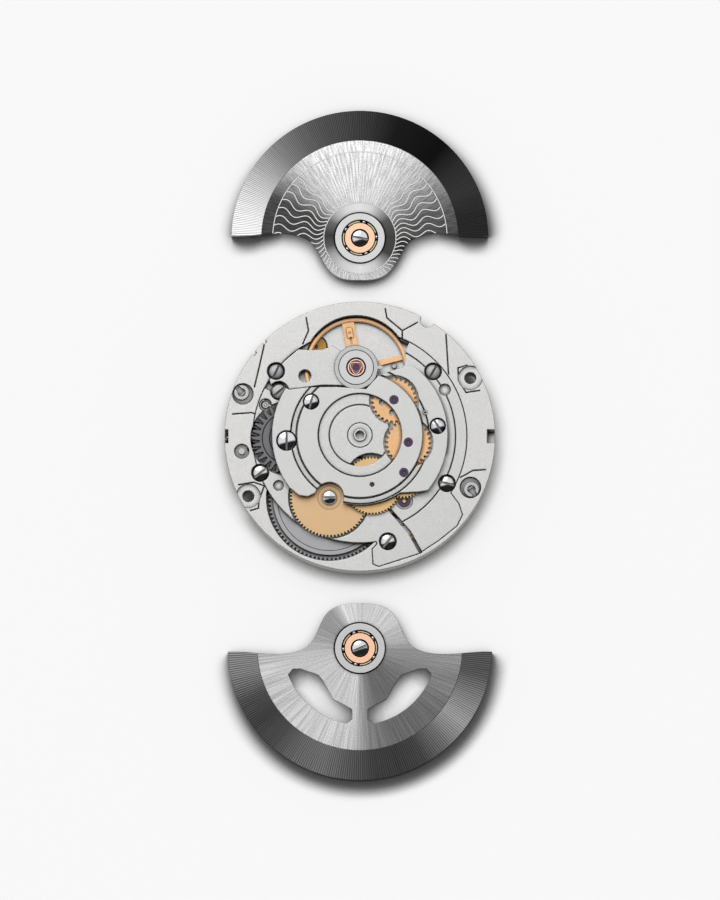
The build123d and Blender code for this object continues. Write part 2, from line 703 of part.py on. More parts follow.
with BuildPart() as auto_bridge:
    with BuildSketch(Plane.XY.offset(auto_low)) as auto_outline:
        Circle(auto_radius)
        with BuildLine():
            Polyline(*spots(auto_top_shares), close=True)
        make_face(mode=Mode.SUBTRACT)
        with BuildLine():
            Polyline(*spots(auto_left_shares))
            ThreePointArc(spot(0.515, -103), spot(0.517, -80), spot(0.519, -55.6))
            Polyline(*spots(auto_right_shares + auto_left_shares[:1]))
        make_face(mode=Mode.SUBTRACT)
        with Locations(barrel_place):
            Circle(plate_radius * 0.107, mode=Mode.SUBTRACT)
    extrude(amount=auto_bridge_thickness)
    # Supporting wall on the bridges below, left and right of the wheels
    for start, end in ((118, 196), (-12, 48)):
        with BuildSketch(Plane.XY.offset(bridge_top)) as wall:
            with BuildLine():
                CenterArc(middle, auto_radius, start, end - start)
                Line(step(middle, auto_radius, end), step(middle, auto_radius - wall_width, end))
                CenterArc(middle, auto_radius - wall_width, start, end - start)
                Line(step(middle, auto_radius, start), step(middle, auto_radius - wall_width, start))
            make_face()
        extrude(wall.sketch, amount=auto_low - bridge_top)
    for place in auto_screw_places:
        disc(place, bridge_top, auto_low, head_radius + 2 * air)
    disc(crown_place, bridge_top - overrun, crown_top + air, crown_recess, Mode.SUBTRACT)
    disc(crown_place, crown_low - air, auto_low, core_radius)
    with BuildSketch(Plane.XY.offset(bridge_top)) as top_cut:
        with BuildLine():
            Polyline(*spots(auto_top_shares), close=True)
        make_face()
    extrude(top_cut.sketch, amount=auto_top - bridge_top + overrun, mode=Mode.SUBTRACT)
    # Windows: reversers inside and outside their band, and the lens over the reduction wheel
    for place in (reverser_1_place, reverser_2_place):
        for inside in (True, False):
            with BuildSketch(Plane.XY.offset(auto_low)) as window:
                with Locations(place):
                    Circle(reverser_tip + well_gap / 2)
                if inside:
                    Circle(outer_step, mode=Mode.INTERSECT)
                else:
                    Circle(ring_outer, mode=Mode.SUBTRACT)
            extrude(window.sketch, amount=auto_bridge_thickness + overrun, mode=Mode.SUBTRACT)
    with BuildSketch(Plane.XY.offset(auto_low)) as lens:
        with Locations(lens_place):
            Circle(plate_radius * 0.184)
        Circle(inner_step, mode=Mode.INTERSECT)
    extrude(lens.sketch, amount=auto_bridge_thickness + overrun, mode=Mode.SUBTRACT)
    # Stepped rings, the sunk middle and the boss with its threaded bore
    disc(middle, auto_top - step_depth, auto_top + overrun, outer_step, Mode.SUBTRACT)
    ring(middle, auto_top - 1.6 * step_depth, auto_top + overrun, inner_step, inner_step - line_width,
         Mode.SUBTRACT)
    ring(middle, auto_top - 1.6 * step_depth, auto_top + overrun, outer_step, outer_step - line_width,
         Mode.SUBTRACT)
    ring(middle, auto_top - step_depth, auto_top + overrun, ring_inner, ring_outer, Mode.SUBTRACT)
    for inner_share, outer_share in ring_shares:
        ring(middle, auto_top - 2 * step_depth, auto_top + overrun, plate_radius * outer_share,
             plate_radius * inner_share, Mode.SUBTRACT)
    boss_radius = 1.19
    bore_radius = 0.4
    ring(middle, auto_top - 1.6 * step_depth, auto_top + overrun, boss_radius, boss_radius - line_width / 2,
         Mode.SUBTRACT)
    ring(middle, auto_top - 2 * step_depth, auto_top, boss_radius / 2, bore_radius)
    disc(middle, auto_low, auto_top + overrun, bore_radius, Mode.SUBTRACT)
    for place in (reverser_1_place, reverser_2_place, intermediate_place):
        disc(place, auto_low - overrun, auto_top + overrun, jewel_radius, Mode.SUBTRACT)
    disc(reduction_place, auto_low - overrun, auto_top + overrun, pivot_radius + running, Mode.SUBTRACT)
    disc(reduction_place, auto_top - step_depth, auto_top + overrun, pivot_radius * 2.4, Mode.SUBTRACT)
    for place in auto_screw_places:
        disc(place, bridge_top - overrun, auto_top + overrun, shank_radius, Mode.SUBTRACT)
        disc(place, auto_top - seat_drop, auto_top + overrun, head_radius + well_gap / 2, Mode.SUBTRACT)
    disc(big_screw_place, bridge_top - overrun, auto_top + overrun, shank_radius, Mode.SUBTRACT)
    disc(big_screw_place, auto_top - seat_drop, auto_top + overrun, big_head_radius + well_gap / 2,
         Mode.SUBTRACT)
    disc(pin_places[1], auto_low - overrun, auto_top + overrun, arbor_radius, Mode.SUBTRACT)
keep(auto_bridge, "auto_bridge")

# Screws: each group of like screws is one node
with BuildPart() as bridge_screws:
    for place, turn in zip([cock_screw_place] + bridge_screw_places, (65, 40, 60, -15, 50, 38)):
        screw(place, screw_seat, floor, turn)
keep(bridge_screws, "bridge_screws")

with BuildPart() as auto_bridge_screws:
    for place, turn in zip(auto_screw_places, (75, -60)):
        screw(place, auto_top - seat_drop, bridge_top, turn)
    screw(big_screw_place, auto_top - seat_drop, bridge_top, 90, big_head_radius, seat_drop)
keep(auto_bridge_screws, "auto_bridge_screws")

ratchet_top = ratchet_low + ratchet_thickness
square = 0.42
with BuildPart() as ratchet_screw:
    screw(barrel_place, ratchet_top, ratchet_low - 2 * ratchet_thickness, 0, head_radius * 0.93, head_height,
          pivot_radius * 2)
keep(ratchet_screw, "ratchet_screw")

# Jewels of the plate, of the bridges and of the automatic bridge
with BuildPart() as train_jewels:
    for place in (escape_place, pallet_place):
        jewel(place, floor)
    for place in train_jewel_places[1:]:
        ring(place, bridge_low, bridge_low + jewel_thickness, jewel_radius, pivot_radius + running)
    jewel(great_place, bridge_top - line_depth, large_jewel_radius, jewel_thickness,
          pivot_radius * 2 + running)
    for place in (reverser_1_place, reverser_2_place, intermediate_place):
        jewel(place, bridge_top)
    disc(balance_place, setting_low, cock_top - air, jewel_radius * 0.8)
keep(train_jewels, "train_jewels")

with BuildPart() as auto_jewels:
    for place in (reverser_1_place, reverser_2_place, intermediate_place):
        jewel(place, auto_top - air, jewel_radius, auto_bridge_thickness - 2 * air)
keep(auto_jewels, "auto_jewels")

# Barrel with its teeth, cover, arbor and mainspring
arbor_core = 1.0
with BuildPart() as barrel_drum:
    extrude(gear(barrel_place, barrel_low, barrel_teeth, barrel_module, 0), amount=barrel_rim_thickness)
    disc(barrel_place, barrel_low, barrel_top - cover_lid, drum_radius)
    disc(barrel_place, barrel_low + drum_floor, barrel_top, drum_radius - drum_wall, Mode.SUBTRACT)
    disc(barrel_place, barrel_low - overrun, barrel_top, arbor_radius + square / 2 + running, Mode.SUBTRACT)
keep(barrel_drum, "barrel_drum")

with BuildPart() as barrel_cover:
    ring(barrel_place, barrel_top - cover_lid, barrel_top, drum_radius, square + 2 * running)
    ring(barrel_place, barrel_top - cover_lid / 2, barrel_top + overrun, drum_radius * 0.93,
         drum_radius * 0.92,
         Mode.SUBTRACT)
keep(barrel_cover, "barrel_cover")

spring_low = barrel_low + drum_floor + air
spring_high = barrel_top - cover_lid - air
with BuildPart() as barrel_arbor:
    disc(barrel_place, web_low + air, spring_low, arbor_radius + square / 2)
    disc(barrel_place, spring_low, spring_high, arbor_core)
    disc(barrel_place, spring_high, recess_floor + air, square)
    block(barrel_place, recess_floor + air, ratchet_top - air, square * 1.3, square * 1.3)
    disc(barrel_place, ratchet_low - 2 * ratchet_thickness, ratchet_top, pivot_radius * 2, Mode.SUBTRACT)
keep(barrel_arbor, "barrel_arbor")

mainspring_room = drum_radius - drum_wall - core_turn_radius - 4 * air
with BuildPart() as mainspring:
    spiral(barrel_place, spring_low, spring_high - spring_low, core_turn_radius,
           mainspring_room / (mainspring_turns + 0.5), mainspring_turns, mainspring_thickness)
keep(mainspring, "mainspring")

with BuildPart() as ratchet_wheel:
    extrude(gear(barrel_place, ratchet_low, ratchet_teeth, ratchet_module, 0), amount=ratchet_thickness)
    ring(barrel_place, ratchet_top - air / 2, ratchet_top + overrun, head_radius * 1.65, head_radius * 1.5,
         Mode.SUBTRACT)
    block(barrel_place, ratchet_low - overrun, ratchet_top - air, square * 1.3, square * 1.3, 0,
          Mode.SUBTRACT)
    disc(barrel_place, ratchet_low, ratchet_top + overrun, pivot_radius * 2, Mode.SUBTRACT)
keep(ratchet_wheel, "ratchet_wheel")

crown_turn = mesh_turn(0, ratchet_teeth, crown_upper_teeth, crown_direction)
crown_face_module = 2 * crown_radius / (crown_face_teeth + 2)
crown_fine = ratchet_thickness / 2
with BuildPart() as crown_wheel:
    extrude(gear(crown_place, ratchet_low, crown_upper_teeth, ratchet_module, crown_turn), amount=crown_fine)
    extrude(gear(crown_place, crown_low, crown_face_teeth, crown_face_module, 0), amount=face_tooth)
    extrude(gear(crown_place, ratchet_low + crown_fine, crown_face_teeth, crown_face_module, 0, 0, 2.4),
            amount=crown_top - ratchet_low - crown_fine)
    disc(crown_place, crown_low - overrun, crown_top + overrun, core_radius + running, Mode.SUBTRACT)
    for ring_share in (0.5, 0.7):
        ring(crown_place, ratchet_low + ratchet_thickness, crown_top + overrun,
             crown_radius * (ring_share + 0.03), crown_radius * ring_share, Mode.SUBTRACT)
keep(crown_wheel, "crown_wheel")

# Click that holds the crown wheel, and its bent spring
click_thickness = ratchet_thickness
click_end = step(crown_place, crown_radius + 2 * air, direction(crown_place, click_place) - click_lead)
click_way = direction(click_place, click_end)
click_reach = reach_between(click_place, click_end)
with BuildPart() as click:
    disc(click_place, crown_low, crown_low + click_thickness, click_hub)
    block(step(click_place, click_reach / 2, click_way), crown_low, crown_low + click_thickness, click_reach,
          slot_width, click_way)
    disc(click_place, crown_low - overrun, bridge_top + overrun, click_post + running, Mode.SUBTRACT)
keep(click, "click")

spring_orbit = click_room * 0.83
with BuildPart() as click_spring:
    with BuildSketch(Plane.XY.offset(crown_low)) as bent:
        with BuildLine() as wire:
            ThreePointArc(step(click_place, spring_orbit, click_way + 120),
                          step(click_place, spring_orbit, click_way + 190),
                          step(click_place, spring_orbit, click_way + 260))
        trace(wire.line, line_width=line_width)
        with Locations(step(click_place, spring_orbit, click_way + 120)):
            Circle(line_width * 0.8)
    extrude(bent.sketch, amount=click_thickness)
keep(click_spring, "click_spring")


def train_wheel(place, low, teeth, module, turn, hub, arms=5):
    """Thin toothed wheel with windows between its arms."""
    pitch = module * teeth / 2
    extrude(gear(place, low, teeth, module, turn), amount=thin_wheel)
    windows = spokes(place, low - overrun, hub, pitch - 4 * module, arms, hub * 0.6)
    extrude(windows, amount=thin_wheel + 2 * overrun, mode=Mode.SUBTRACT)


# Going train, each wheel with its pinion and arbor
great_turn = mesh_turn(0, barrel_teeth, great_pinion_teeth, great_wheel_direction)
with BuildPart() as great_wheel:
    train_wheel(great_place, wheel_low, great_teeth, great_module, 0, arbor_radius * 3.4)
    extrude(gear(great_place, barrel_low, great_pinion_teeth, barrel_module, great_turn),
            amount=barrel_rim_thickness)
    disc(great_place, barrel_low + barrel_rim_thickness, bridge_low - air, arbor_radius)
    disc(great_place, web_low + 2 * air, bridge_top - line_depth, pivot_radius * 2)
keep(great_wheel, "great_wheel")

third_way = direction(great_place, third_place)
third_turn = mesh_turn(0, great_teeth, third_pinion_teeth, third_way)
third_low_turn = 0
driver_way = direction(third_place, middle)
with BuildPart() as third_wheel:
    train_wheel(third_place, third_low, third_teeth, third_module, 0, arbor_radius * 3)
    extrude(gear(third_place, wheel_low - air, third_pinion_teeth, great_module, third_turn),
            amount=third_low - wheel_low + air)
    disc(third_place, driver_low + dial_wheel, wheel_low - air, arbor_radius)
    extrude(gear(third_place, driver_low, driver_pinion_teeth, driver_module, third_low_turn),
            amount=dial_wheel + air)
    disc(third_place, third_low, bridge_low + jewel_thickness, pivot_radius)
    disc(third_place, cover_top - cover_thickness / 4, driver_low, pivot_radius)
keep(third_wheel, "third_wheel")

seconds_way = direction(third_place, middle)
seconds_turn = mesh_turn(0, third_teeth, seconds_pinion_teeth, seconds_way)
with BuildPart() as seconds_wheel:
    train_wheel(middle, wheel_low, seconds_teeth, seconds_module, 0, arbor_radius * 2.6)
    extrude(gear(middle, wheel_low + thin_wheel, seconds_pinion_teeth, third_module, seconds_turn),
            amount=bridge_low - air - wheel_low - thin_wheel)
    disc(middle, bridge_low - air, bridge_low + jewel_thickness, pivot_radius)
    disc(middle, 0, wheel_low, seconds_post_radius)
keep(seconds_wheel, "seconds_wheel")

escape_turn = mesh_turn(0, seconds_teeth, escape_pinion_teeth, escape_direction)
with BuildPart() as escape_wheel:
    with BuildSketch(level(escape_place, escape_low)) as club_teeth:
        with BuildLine():
            corners = []
            for tooth in range(escape_teeth):
                way = tooth * 360 / escape_teeth
                for radius_share, turn_share in ((0.8, 0), (1, 0.32), (0.98, 0.5), (0.8, 0.36)):
                    corners.append(step(middle, escape_radius * radius_share,
                                        way + turn_share * 360 / escape_teeth))
            Polyline(*corners, close=True)
        make_face()
    extrude(club_teeth.sketch, amount=escape_thickness)
    windows = spokes(escape_place, escape_low - overrun, arbor_radius * 2.2, escape_radius * 0.68, 4,
                     arbor_radius)
    extrude(windows, amount=2 * overrun, mode=Mode.SUBTRACT)
    disc(escape_place, escape_low, wheel_low - air, arbor_radius)
    extrude(gear(escape_place, wheel_low - air, escape_pinion_teeth, seconds_module, escape_turn),
            amount=thin_wheel + 2 * air)
    disc(escape_place, floor - jewel_thickness + air, bridge_low + jewel_thickness, pivot_radius)
keep(escape_wheel, "escape_wheel")

# Pallet fork between the escape wheel and the balance
fork_reach = reach_between(pallet_place, balance_place) - impulse_orbit - impulse_radius - 3 * air
stone_reach = escape_radius * 0.45
stone_way = 112
pallet_arm = 0.22
with BuildPart() as pallet_fork:
    block(step(pallet_place, fork_reach / 2, escape_way), escape_low, escape_low + escape_thickness,
          fork_reach,
          pallet_arm, escape_way)
    for side in (-1, 1):
        block(step(step(pallet_place, fork_reach - pallet_arm, escape_way), pallet_arm,
                   escape_way + side * 90),
              escape_low, escape_low + escape_thickness, 2 * pallet_arm, pallet_arm, escape_way)
        block(step(pallet_place, stone_reach / 2, escape_way + side * stone_way), escape_low,
              escape_low + escape_thickness,
              stone_reach, pallet_arm, escape_way + side * stone_way)
    disc(pallet_place, escape_low, pallet_bridge_low - air / 2, pallet_arm)
    disc(pallet_place, floor - jewel_thickness + air, pallet_bridge_low + pallet_bridge_thickness,
         pivot_radius)
keep(pallet_fork, "pallet_fork")

stone_length = 0.3
with BuildPart() as pallet_stones:
    for side in (-1, 1):
        end = step(pallet_place, stone_reach + stone_length / 2, escape_way + side * stone_way)
        block(end, escape_low, escape_low + escape_thickness, stone_length, pallet_arm * 0.8,
              escape_way + side * stone_way)
keep(pallet_stones, "pallet_stones")

pallet_foot_reach = 1.25
with BuildPart() as pallet_bridge:
    for side in (-1, 1):
        foot = step(pallet_place, pallet_foot_reach, escape_way + side * 62)
        disc(foot, floor, pallet_bridge_low, pallet_arm * 1.6)
        disc(foot, pallet_bridge_low, pallet_bridge_low + pallet_bridge_thickness, pallet_arm * 1.6)
        block(step(pallet_place, pallet_foot_reach / 2, escape_way + side * 62), pallet_bridge_low,
              pallet_bridge_low + pallet_bridge_thickness, pallet_foot_reach, pallet_arm * 2,
              escape_way + side * 62)
    disc(pallet_place, pallet_bridge_low, pallet_bridge_low + pallet_bridge_thickness, pallet_arm * 1.8)
    disc(pallet_place, floor, bridge_top, pivot_radius + running, Mode.SUBTRACT)
keep(pallet_bridge, "pallet_bridge")

# Balance: rim, two wide and two narrow arms, hub
arm_turn = 100
with BuildPart() as balance_wheel:
    ring(balance_place, balance_low, balance_top, balance_radius, balance_radius - rim_width)
    ring(balance_place, balance_low + balance_thickness / 3, balance_top - balance_thickness / 3,
         balance_radius - rim_width, balance_radius - 1.35 * rim_width)
    for arm, width in ((0, wide_arm), (1, narrow_arm), (2, wide_arm), (3, narrow_arm)):
        way = arm_turn - arm * 85.5 if arm < 2 else arm_turn + 180 - (arm - 2) * 85.5
        block(step(balance_place, (balance_radius - rim_width) / 2, way), balance_low,
              balance_low + balance_thickness * 0.6, balance_radius - rim_width, width, way)
        if width == wide_arm:
            head = step(balance_place, balance_radius * 0.72, way)
            block(head, balance_low, balance_top, balance_radius * 0.2, wide_arm * 0.45, way)
            disc(head, balance_top - air, balance_top + overrun, wide_arm * 0.12, Mode.SUBTRACT)
            notch = step(balance_place, balance_radius * 0.56, way)
            block(notch, balance_low - air, balance_top, balance_radius * 0.16, wide_arm * 0.16, way,
                  Mode.SUBTRACT)
    disc(balance_place, balance_low, balance_top, roller_radius)
    disc(balance_place, balance_low - overrun, balance_top + overrun, staff_radius, Mode.SUBTRACT)
keep(balance_wheel, "balance_wheel")

roller_low = pallet_bridge_low
with BuildPart() as balance_staff:
    disc(balance_place, floor + air, block_low - air, staff_radius)
    disc(balance_place, floor - jewel_thickness + air, block_low + jewel_thickness, pivot_radius)
    # Collet that grips the inner end of the hairspring
    ring(balance_place, balance_top, balance_top + 2 * air + spring_height, collet_radius - air,
         staff_radius - running)
    # Roller with the impulse pin
    ring(balance_place, roller_low + air, balance_low, roller_radius, staff_radius)
    pin = step(balance_place, impulse_orbit, escape_way + 180)
    disc(pin, escape_low, roller_low + air, impulse_radius)
keep(balance_staff, "balance_staff")

spring_level = balance_top + air
with BuildPart() as hairspring:
    spiral(balance_place, spring_level, spring_height, collet_radius - air, spring_pitch, spring_turns,
           spring_thickness)
keep(hairspring, "hairspring")

# Stud that holds the hairspring's outer end, and the regulator round the cock's end
stud_reach = collet_radius - air + spring_turns * spring_pitch + spring_thickness / 2
stud_place = step(balance_place, stud_reach, 0)
with BuildPart() as regulator:
    ring(balance_place, cock_top, cock_top + line_depth / 2, cock_end_radius - air, block_radius + air)
    block(step(balance_place, cock_end_radius + stud_reach / 16, 0), cock_top, cock_top + line_depth / 2,
          stud_reach / 4, slot_width * 1.5)
    disc(stud_place, cock_top, cock_top + line_depth / 2, slot_width)
    disc(stud_place, spring_level + spring_height + air / 2, cock_top, slot_width / 2)
keep(regulator, "regulator")

with BuildPart() as shock_blocks:
    ring(balance_place, block_low, block_top, block_radius, block_bore)
    ring(balance_place, block_low, block_low + 2 * air, block_radius, pivot_radius + running)
    ring(balance_place, web_low, floor, setting_radius, pivot_radius + running)
keep(shock_blocks, "shock_blocks")

with BuildPart() as shock_setting:
    ring(balance_place, setting_low, cock_top, setting_radius, jewel_radius * 0.8)
    for arm in range(4):
        way = 45 + arm * 90
        disc(step(balance_place, setting_radius * 0.78, way), cock_top - line_depth / 2, cock_top + overrun,
             line_width * 0.9, Mode.SUBTRACT)
keep(shock_setting, "shock_setting")

# Amber bush, steel pins and the dial locks
with BuildPart() as plate_bush:
    ring(bush_place, floor - jewel_thickness, floor, bush_radius, bush_radius * 0.2)
keep(plate_bush, "plate_bush")

with BuildPart() as locating_pins:
    disc(pin_places[0], floor - web_thickness / 2, balance_low - air, arbor_radius)
    ring(pin_places[1], auto_low, auto_top + air, arbor_radius, arbor_radius / 2)
    disc(pin_places[2], bridge_top - 2 * line_depth, bridge_top, arbor_radius * 1.5)
keep(locating_pins, "locating_pins")

with BuildPart() as dial_locks:
    for place, turn in zip(spots(lock_shares), (-60, 130)):
        disc(place, bridge_top - 3 * line_depth, bridge_top - 2 * line_depth, lock_radius)
        cam = step(place, lock_radius * 0.2, turn)
        ring(cam, bridge_top - 2 * line_depth, bridge_top, lock_radius * 0.72, lock_radius * 0.4)
        block(step(cam, lock_radius * 0.6, turn), bridge_top - 2 * line_depth, bridge_top + overrun,
              lock_radius * 0.75, lock_radius * 0.5, turn, Mode.SUBTRACT)
        block(place, bridge_top - 3 * line_depth, bridge_top - line_depth, lock_radius * 1.2, slot_width,
              turn + 90)
keep(dial_locks, "dial_locks")

# Wheels of the automatic winding train
first_turn = 0
reverser_way = direction(reverser_1_place, reverser_2_place)
second_turn = mesh_turn(first_turn, reverser_teeth, reverser_teeth, reverser_way)
pallet_hole_reach = reverser_tip * 0.5


def auto_arbor(place, low, high):
    disc(place, low, high, arbor_radius)
    disc(place, bridge_top - jewel_thickness * 0.6, auto_low + air, pivot_radius)


def reverser(place, turn, pinion):
    """Reverser wheel with the two round holes that show its pawls."""
    extrude(gear(place, reverser_low, reverser_teeth, auto_module, turn, 0, 1.3, 0.95), amount=auto_wheel)
    for side in (40, 112):
        disc(step(place, pallet_hole_reach, turn + side + 150), reverser_low - air, auto_low,
             reverser_tip * 0.13,
             Mode.SUBTRACT)
    if pinion:
        extrude(gear(place, intermediate_low, reverser_pinion_teeth, inner_module, 0),
                amount=reverser_low - intermediate_low)
        auto_arbor(place, bridge_top + air, intermediate_low)
    else:
        auto_arbor(place, bridge_top + air, reverser_low)
    disc(place, reverser_low, auto_low + jewel_thickness, pivot_radius)


with BuildPart() as reverser_1:
    reverser(reverser_1_place, first_turn, False)
keep(reverser_1, "reverser_1")

with BuildPart() as reverser_2:
    reverser(reverser_2_place, second_turn, True)
keep(reverser_2, "reverser_2")

intermediate_turn = mesh_turn(0, reverser_pinion_teeth, intermediate_teeth, intermediate_direction)
with BuildPart() as intermediate_wheel:
    extrude(gear(intermediate_place, intermediate_low, intermediate_teeth, inner_module, intermediate_turn),
            amount=auto_wheel)
    extrude(gear(intermediate_place, reduction_low, intermediate_pinion_teeth, inner_module, 0),
            amount=intermediate_low - reduction_low)
    auto_arbor(intermediate_place, bridge_top + air, reduction_low)
    disc(intermediate_place, intermediate_low, auto_low + jewel_thickness, pivot_radius)
keep(intermediate_wheel, "intermediate_wheel")

reduction_turn = mesh_turn(0, intermediate_pinion_teeth, reduction_teeth, reduction_direction)
reduction_pinion_turn = mesh_turn(0, ratchet_teeth, reduction_pinion_teeth, ratchet_direction + 180)
with BuildPart() as reduction_wheel:
    extrude(gear(reduction_place, reduction_low, reduction_teeth, inner_module, reduction_turn),
            amount=auto_wheel)
    extrude(gear(reduction_place, ratchet_low, reduction_pinion_teeth, ratchet_module, reduction_pinion_turn),
            amount=reduction_low - ratchet_low)
    disc(reduction_place, ratchet_low - jewel_thickness / 2, auto_low + auto_bridge_thickness / 2,
         pivot_radius)
keep(reduction_wheel, "reduction_wheel")

# Motion work under the plate
with BuildPart() as cannon_pinion:
    driver_turn = mesh_turn(third_low_turn, driver_pinion_teeth, driver_teeth, driver_way)
    extrude(gear(middle, driver_low, driver_teeth, driver_module, driver_turn), amount=dial_wheel)
    extrude(gear(middle, minute_low, cannon_teeth, minute_module, 0), amount=driver_low - minute_low)
    disc(middle, minute_post_end, minute_low, minute_post_radius)
    disc(middle, minute_post_end - overrun, driver_low + overrun, seconds_post_radius + running,
         Mode.SUBTRACT)
keep(cannon_pinion, "cannon_pinion")

minute_turn = mesh_turn(0, cannon_teeth, minute_teeth, 180)
minute_pinion_turn = mesh_turn(0, hour_teeth, minute_pinion_teeth, 180)
hour_module = 2 * centres(minute_module, cannon_teeth, minute_teeth) / (hour_teeth + minute_pinion_teeth)
with BuildPart() as minute_wheel:
    extrude(gear(minute_place, minute_low, minute_teeth, minute_module, minute_turn), amount=dial_wheel)
    extrude(gear(minute_place, hour_low, minute_pinion_teeth, hour_module, minute_pinion_turn),
            amount=minute_low - hour_low)
    disc(minute_place, hour_low - air, driver_low, pivot_radius + running, Mode.SUBTRACT)
keep(minute_wheel, "minute_wheel")

with BuildPart() as hour_wheel:
    extrude(gear(middle, hour_low, hour_teeth, hour_module, 0), amount=dial_wheel)
    disc(middle, hour_post_end, hour_low, hour_post_radius)
    disc(middle, hour_post_end - overrun, hour_low + overrun, minute_post_radius + running, Mode.SUBTRACT)
keep(hour_wheel, "hour_wheel")

setting_turn = mesh_turn(minute_turn, minute_teeth, setting_teeth, 180)
with BuildPart() as setting_wheel:
    extrude(gear(setting_place, minute_low, setting_teeth, minute_module, setting_turn), amount=dial_wheel)
    disc(setting_place, cover_top + air / 2, web_low - air / 2, arbor_radius)
keep(setting_wheel, "setting_wheel")

# Stem, winding pinion and sliding pinion on one axis
with BuildPart() as stem:
    with BuildSketch(Plane.YZ.offset(stem_outer)):
        with Locations((0, stem_height)):
            Circle(stem_radius)
    extrude(amount=pinion_start - 4 * air - stem_outer)
    with BuildSketch(Plane.YZ.offset(pinion_start - 4 * air)):
        with Locations((0, stem_height)):
            Circle(stem_square)
    extrude(amount=stem_inner - pinion_start)
keep(stem, "stem")


def stem_gear(start, length, radius, teeth, bore):
    """Toothed pinion round the stem's axis."""
    module = 2 * radius / (teeth + 2)
    with BuildSketch(Plane(origin=(start, 0, stem_height), x_dir=(0, 1, 0), z_dir=(1, 0, 0))) as face:
        with BuildLine():
            corners = []
            for tooth in range(teeth):
                for reach, side_share in ((radius - 2 * module, -0.3), (radius, -0.12), (radius, 0.12),
                                          (radius - 2 * module, 0.3)):
                    corners.append(step(middle, reach, (tooth + side_share) * 360 / teeth))
            Polyline(*corners, close=True)
        make_face()
        Circle(bore, mode=Mode.SUBTRACT)
    extrude(face.sketch, amount=length)


with BuildPart() as winding_pinion:
    stem_gear(pinion_start, winding_pinion_length, winding_pinion_radius, winding_pinion_teeth,
              stem_square + running)
keep(winding_pinion, "winding_pinion")

with BuildPart() as sliding_pinion:
    stem_gear(sliding_start, sliding_pinion_length, sliding_pinion_radius, winding_pinion_teeth,
              stem_square + running)
    with BuildSketch(Plane.YZ.offset(sliding_start + sliding_pinion_length * 0.4)) as neck:
        with Locations((0, stem_height)):
            Circle(sliding_pinion_radius + overrun)
            Circle(sliding_pinion_radius * 0.72, mode=Mode.SUBTRACT)
    extrude(neck.sketch, amount=sliding_pinion_length * 0.25, mode=Mode.SUBTRACT)
keep(sliding_pinion, "sliding_pinion")

# Levers on the dial side
lever_low = cover_top + air
lever_high = lever_low + setting_plate
with BuildPart() as setting_lever:
    lever_end = (sliding_start, -sliding_pinion_radius)
    disc(lever_place, lever_low, lever_high, shank_radius * 1.5)
    lever_reach = reach_between(lever_place, lever_end)
    lever_way = direction(lever_place, lever_end)
    block(step(lever_place, lever_reach / 2, lever_way), lever_low, lever_high, lever_reach,
          shank_radius * 1.4, lever_way)
    disc(lever_place, lever_high, lever_top - air, arbor_radius)
keep(setting_lever, "setting_lever")

with BuildPart() as yoke:
    yoke_end = (sliding_start + sliding_pinion_length * 0.52, sliding_pinion_radius * 0.4)
    disc(yoke_place, lever_low, lever_high, shank_radius * 1.5)
    yoke_reach = reach_between(yoke_place, yoke_end)
    yoke_way = direction(yoke_place, yoke_end)
    block(step(yoke_place, yoke_reach / 2, yoke_way), lever_low, lever_high, yoke_reach, shank_radius,
          yoke_way)
    disc(yoke_place, lever_high, lever_top - air, arbor_radius)
keep(yoke, "yoke")

# Winding rotors, drawn with the heavy side towards +Y of their own axis
rotor_a_edge_shares = [(0.98, 0.017), (0.77, 0.027), (0.6, 0.035), (0.47, 0.012), (0.385, -0.03),
                       (0.345, -0.08),
                       (0.29, -0.18), (0.235, -0.262), (0.153, -0.315), (0, -0.332)]
rotor_b_edge_shares = [(0.98, 0.026), (0.78, 0.036), (0.6, 0.043), (0.46, 0.018), (0.385, -0.025),
                       (0.345, -0.08),
                       (0.3, -0.18), (0.241, -0.275), (0.155, -0.325), (0, -0.34)]
window_shares = [(0.542, 0.2), (0.507, 0.157), (0.449, 0.157), (0.315, 0.203), (0.278, 0.25), (0.2, 0.39),
                 (0.119, 0.43), (0.059, 0.464), (0.059, 0.54), (0.1, 0.571)]


def rotor_outline(radius, edge_shares, low, turn, place, inner, outer):
    """Half disc with its boss, kept between two radii round the rotor's own axis."""
    right = [(radius * x, radius * y) for x, y in edge_shares]
    left = [(-x, y) for x, y in reversed(right[:-1])]
    plane = Plane(origin=(0, place, low), x_dir=(cos(radians(turn)), sin(radians(turn)), 0))
    with BuildSketch(plane) as face:
        with BuildLine():
            Spline(*(right + left))
            Line(left[-1], (-radius * 1.1, left[-1][1]))
            Polyline((-radius * 1.1, left[-1][1]), (-radius * 1.1, radius * 1.1),
                     (radius * 1.1, radius * 1.1),
                     (radius * 1.1, right[0][1]), right[0])
        make_face()
        Circle(outer, mode=Mode.INTERSECT)
        if inner:
            Circle(inner, mode=Mode.SUBTRACT)
    return face.sketch


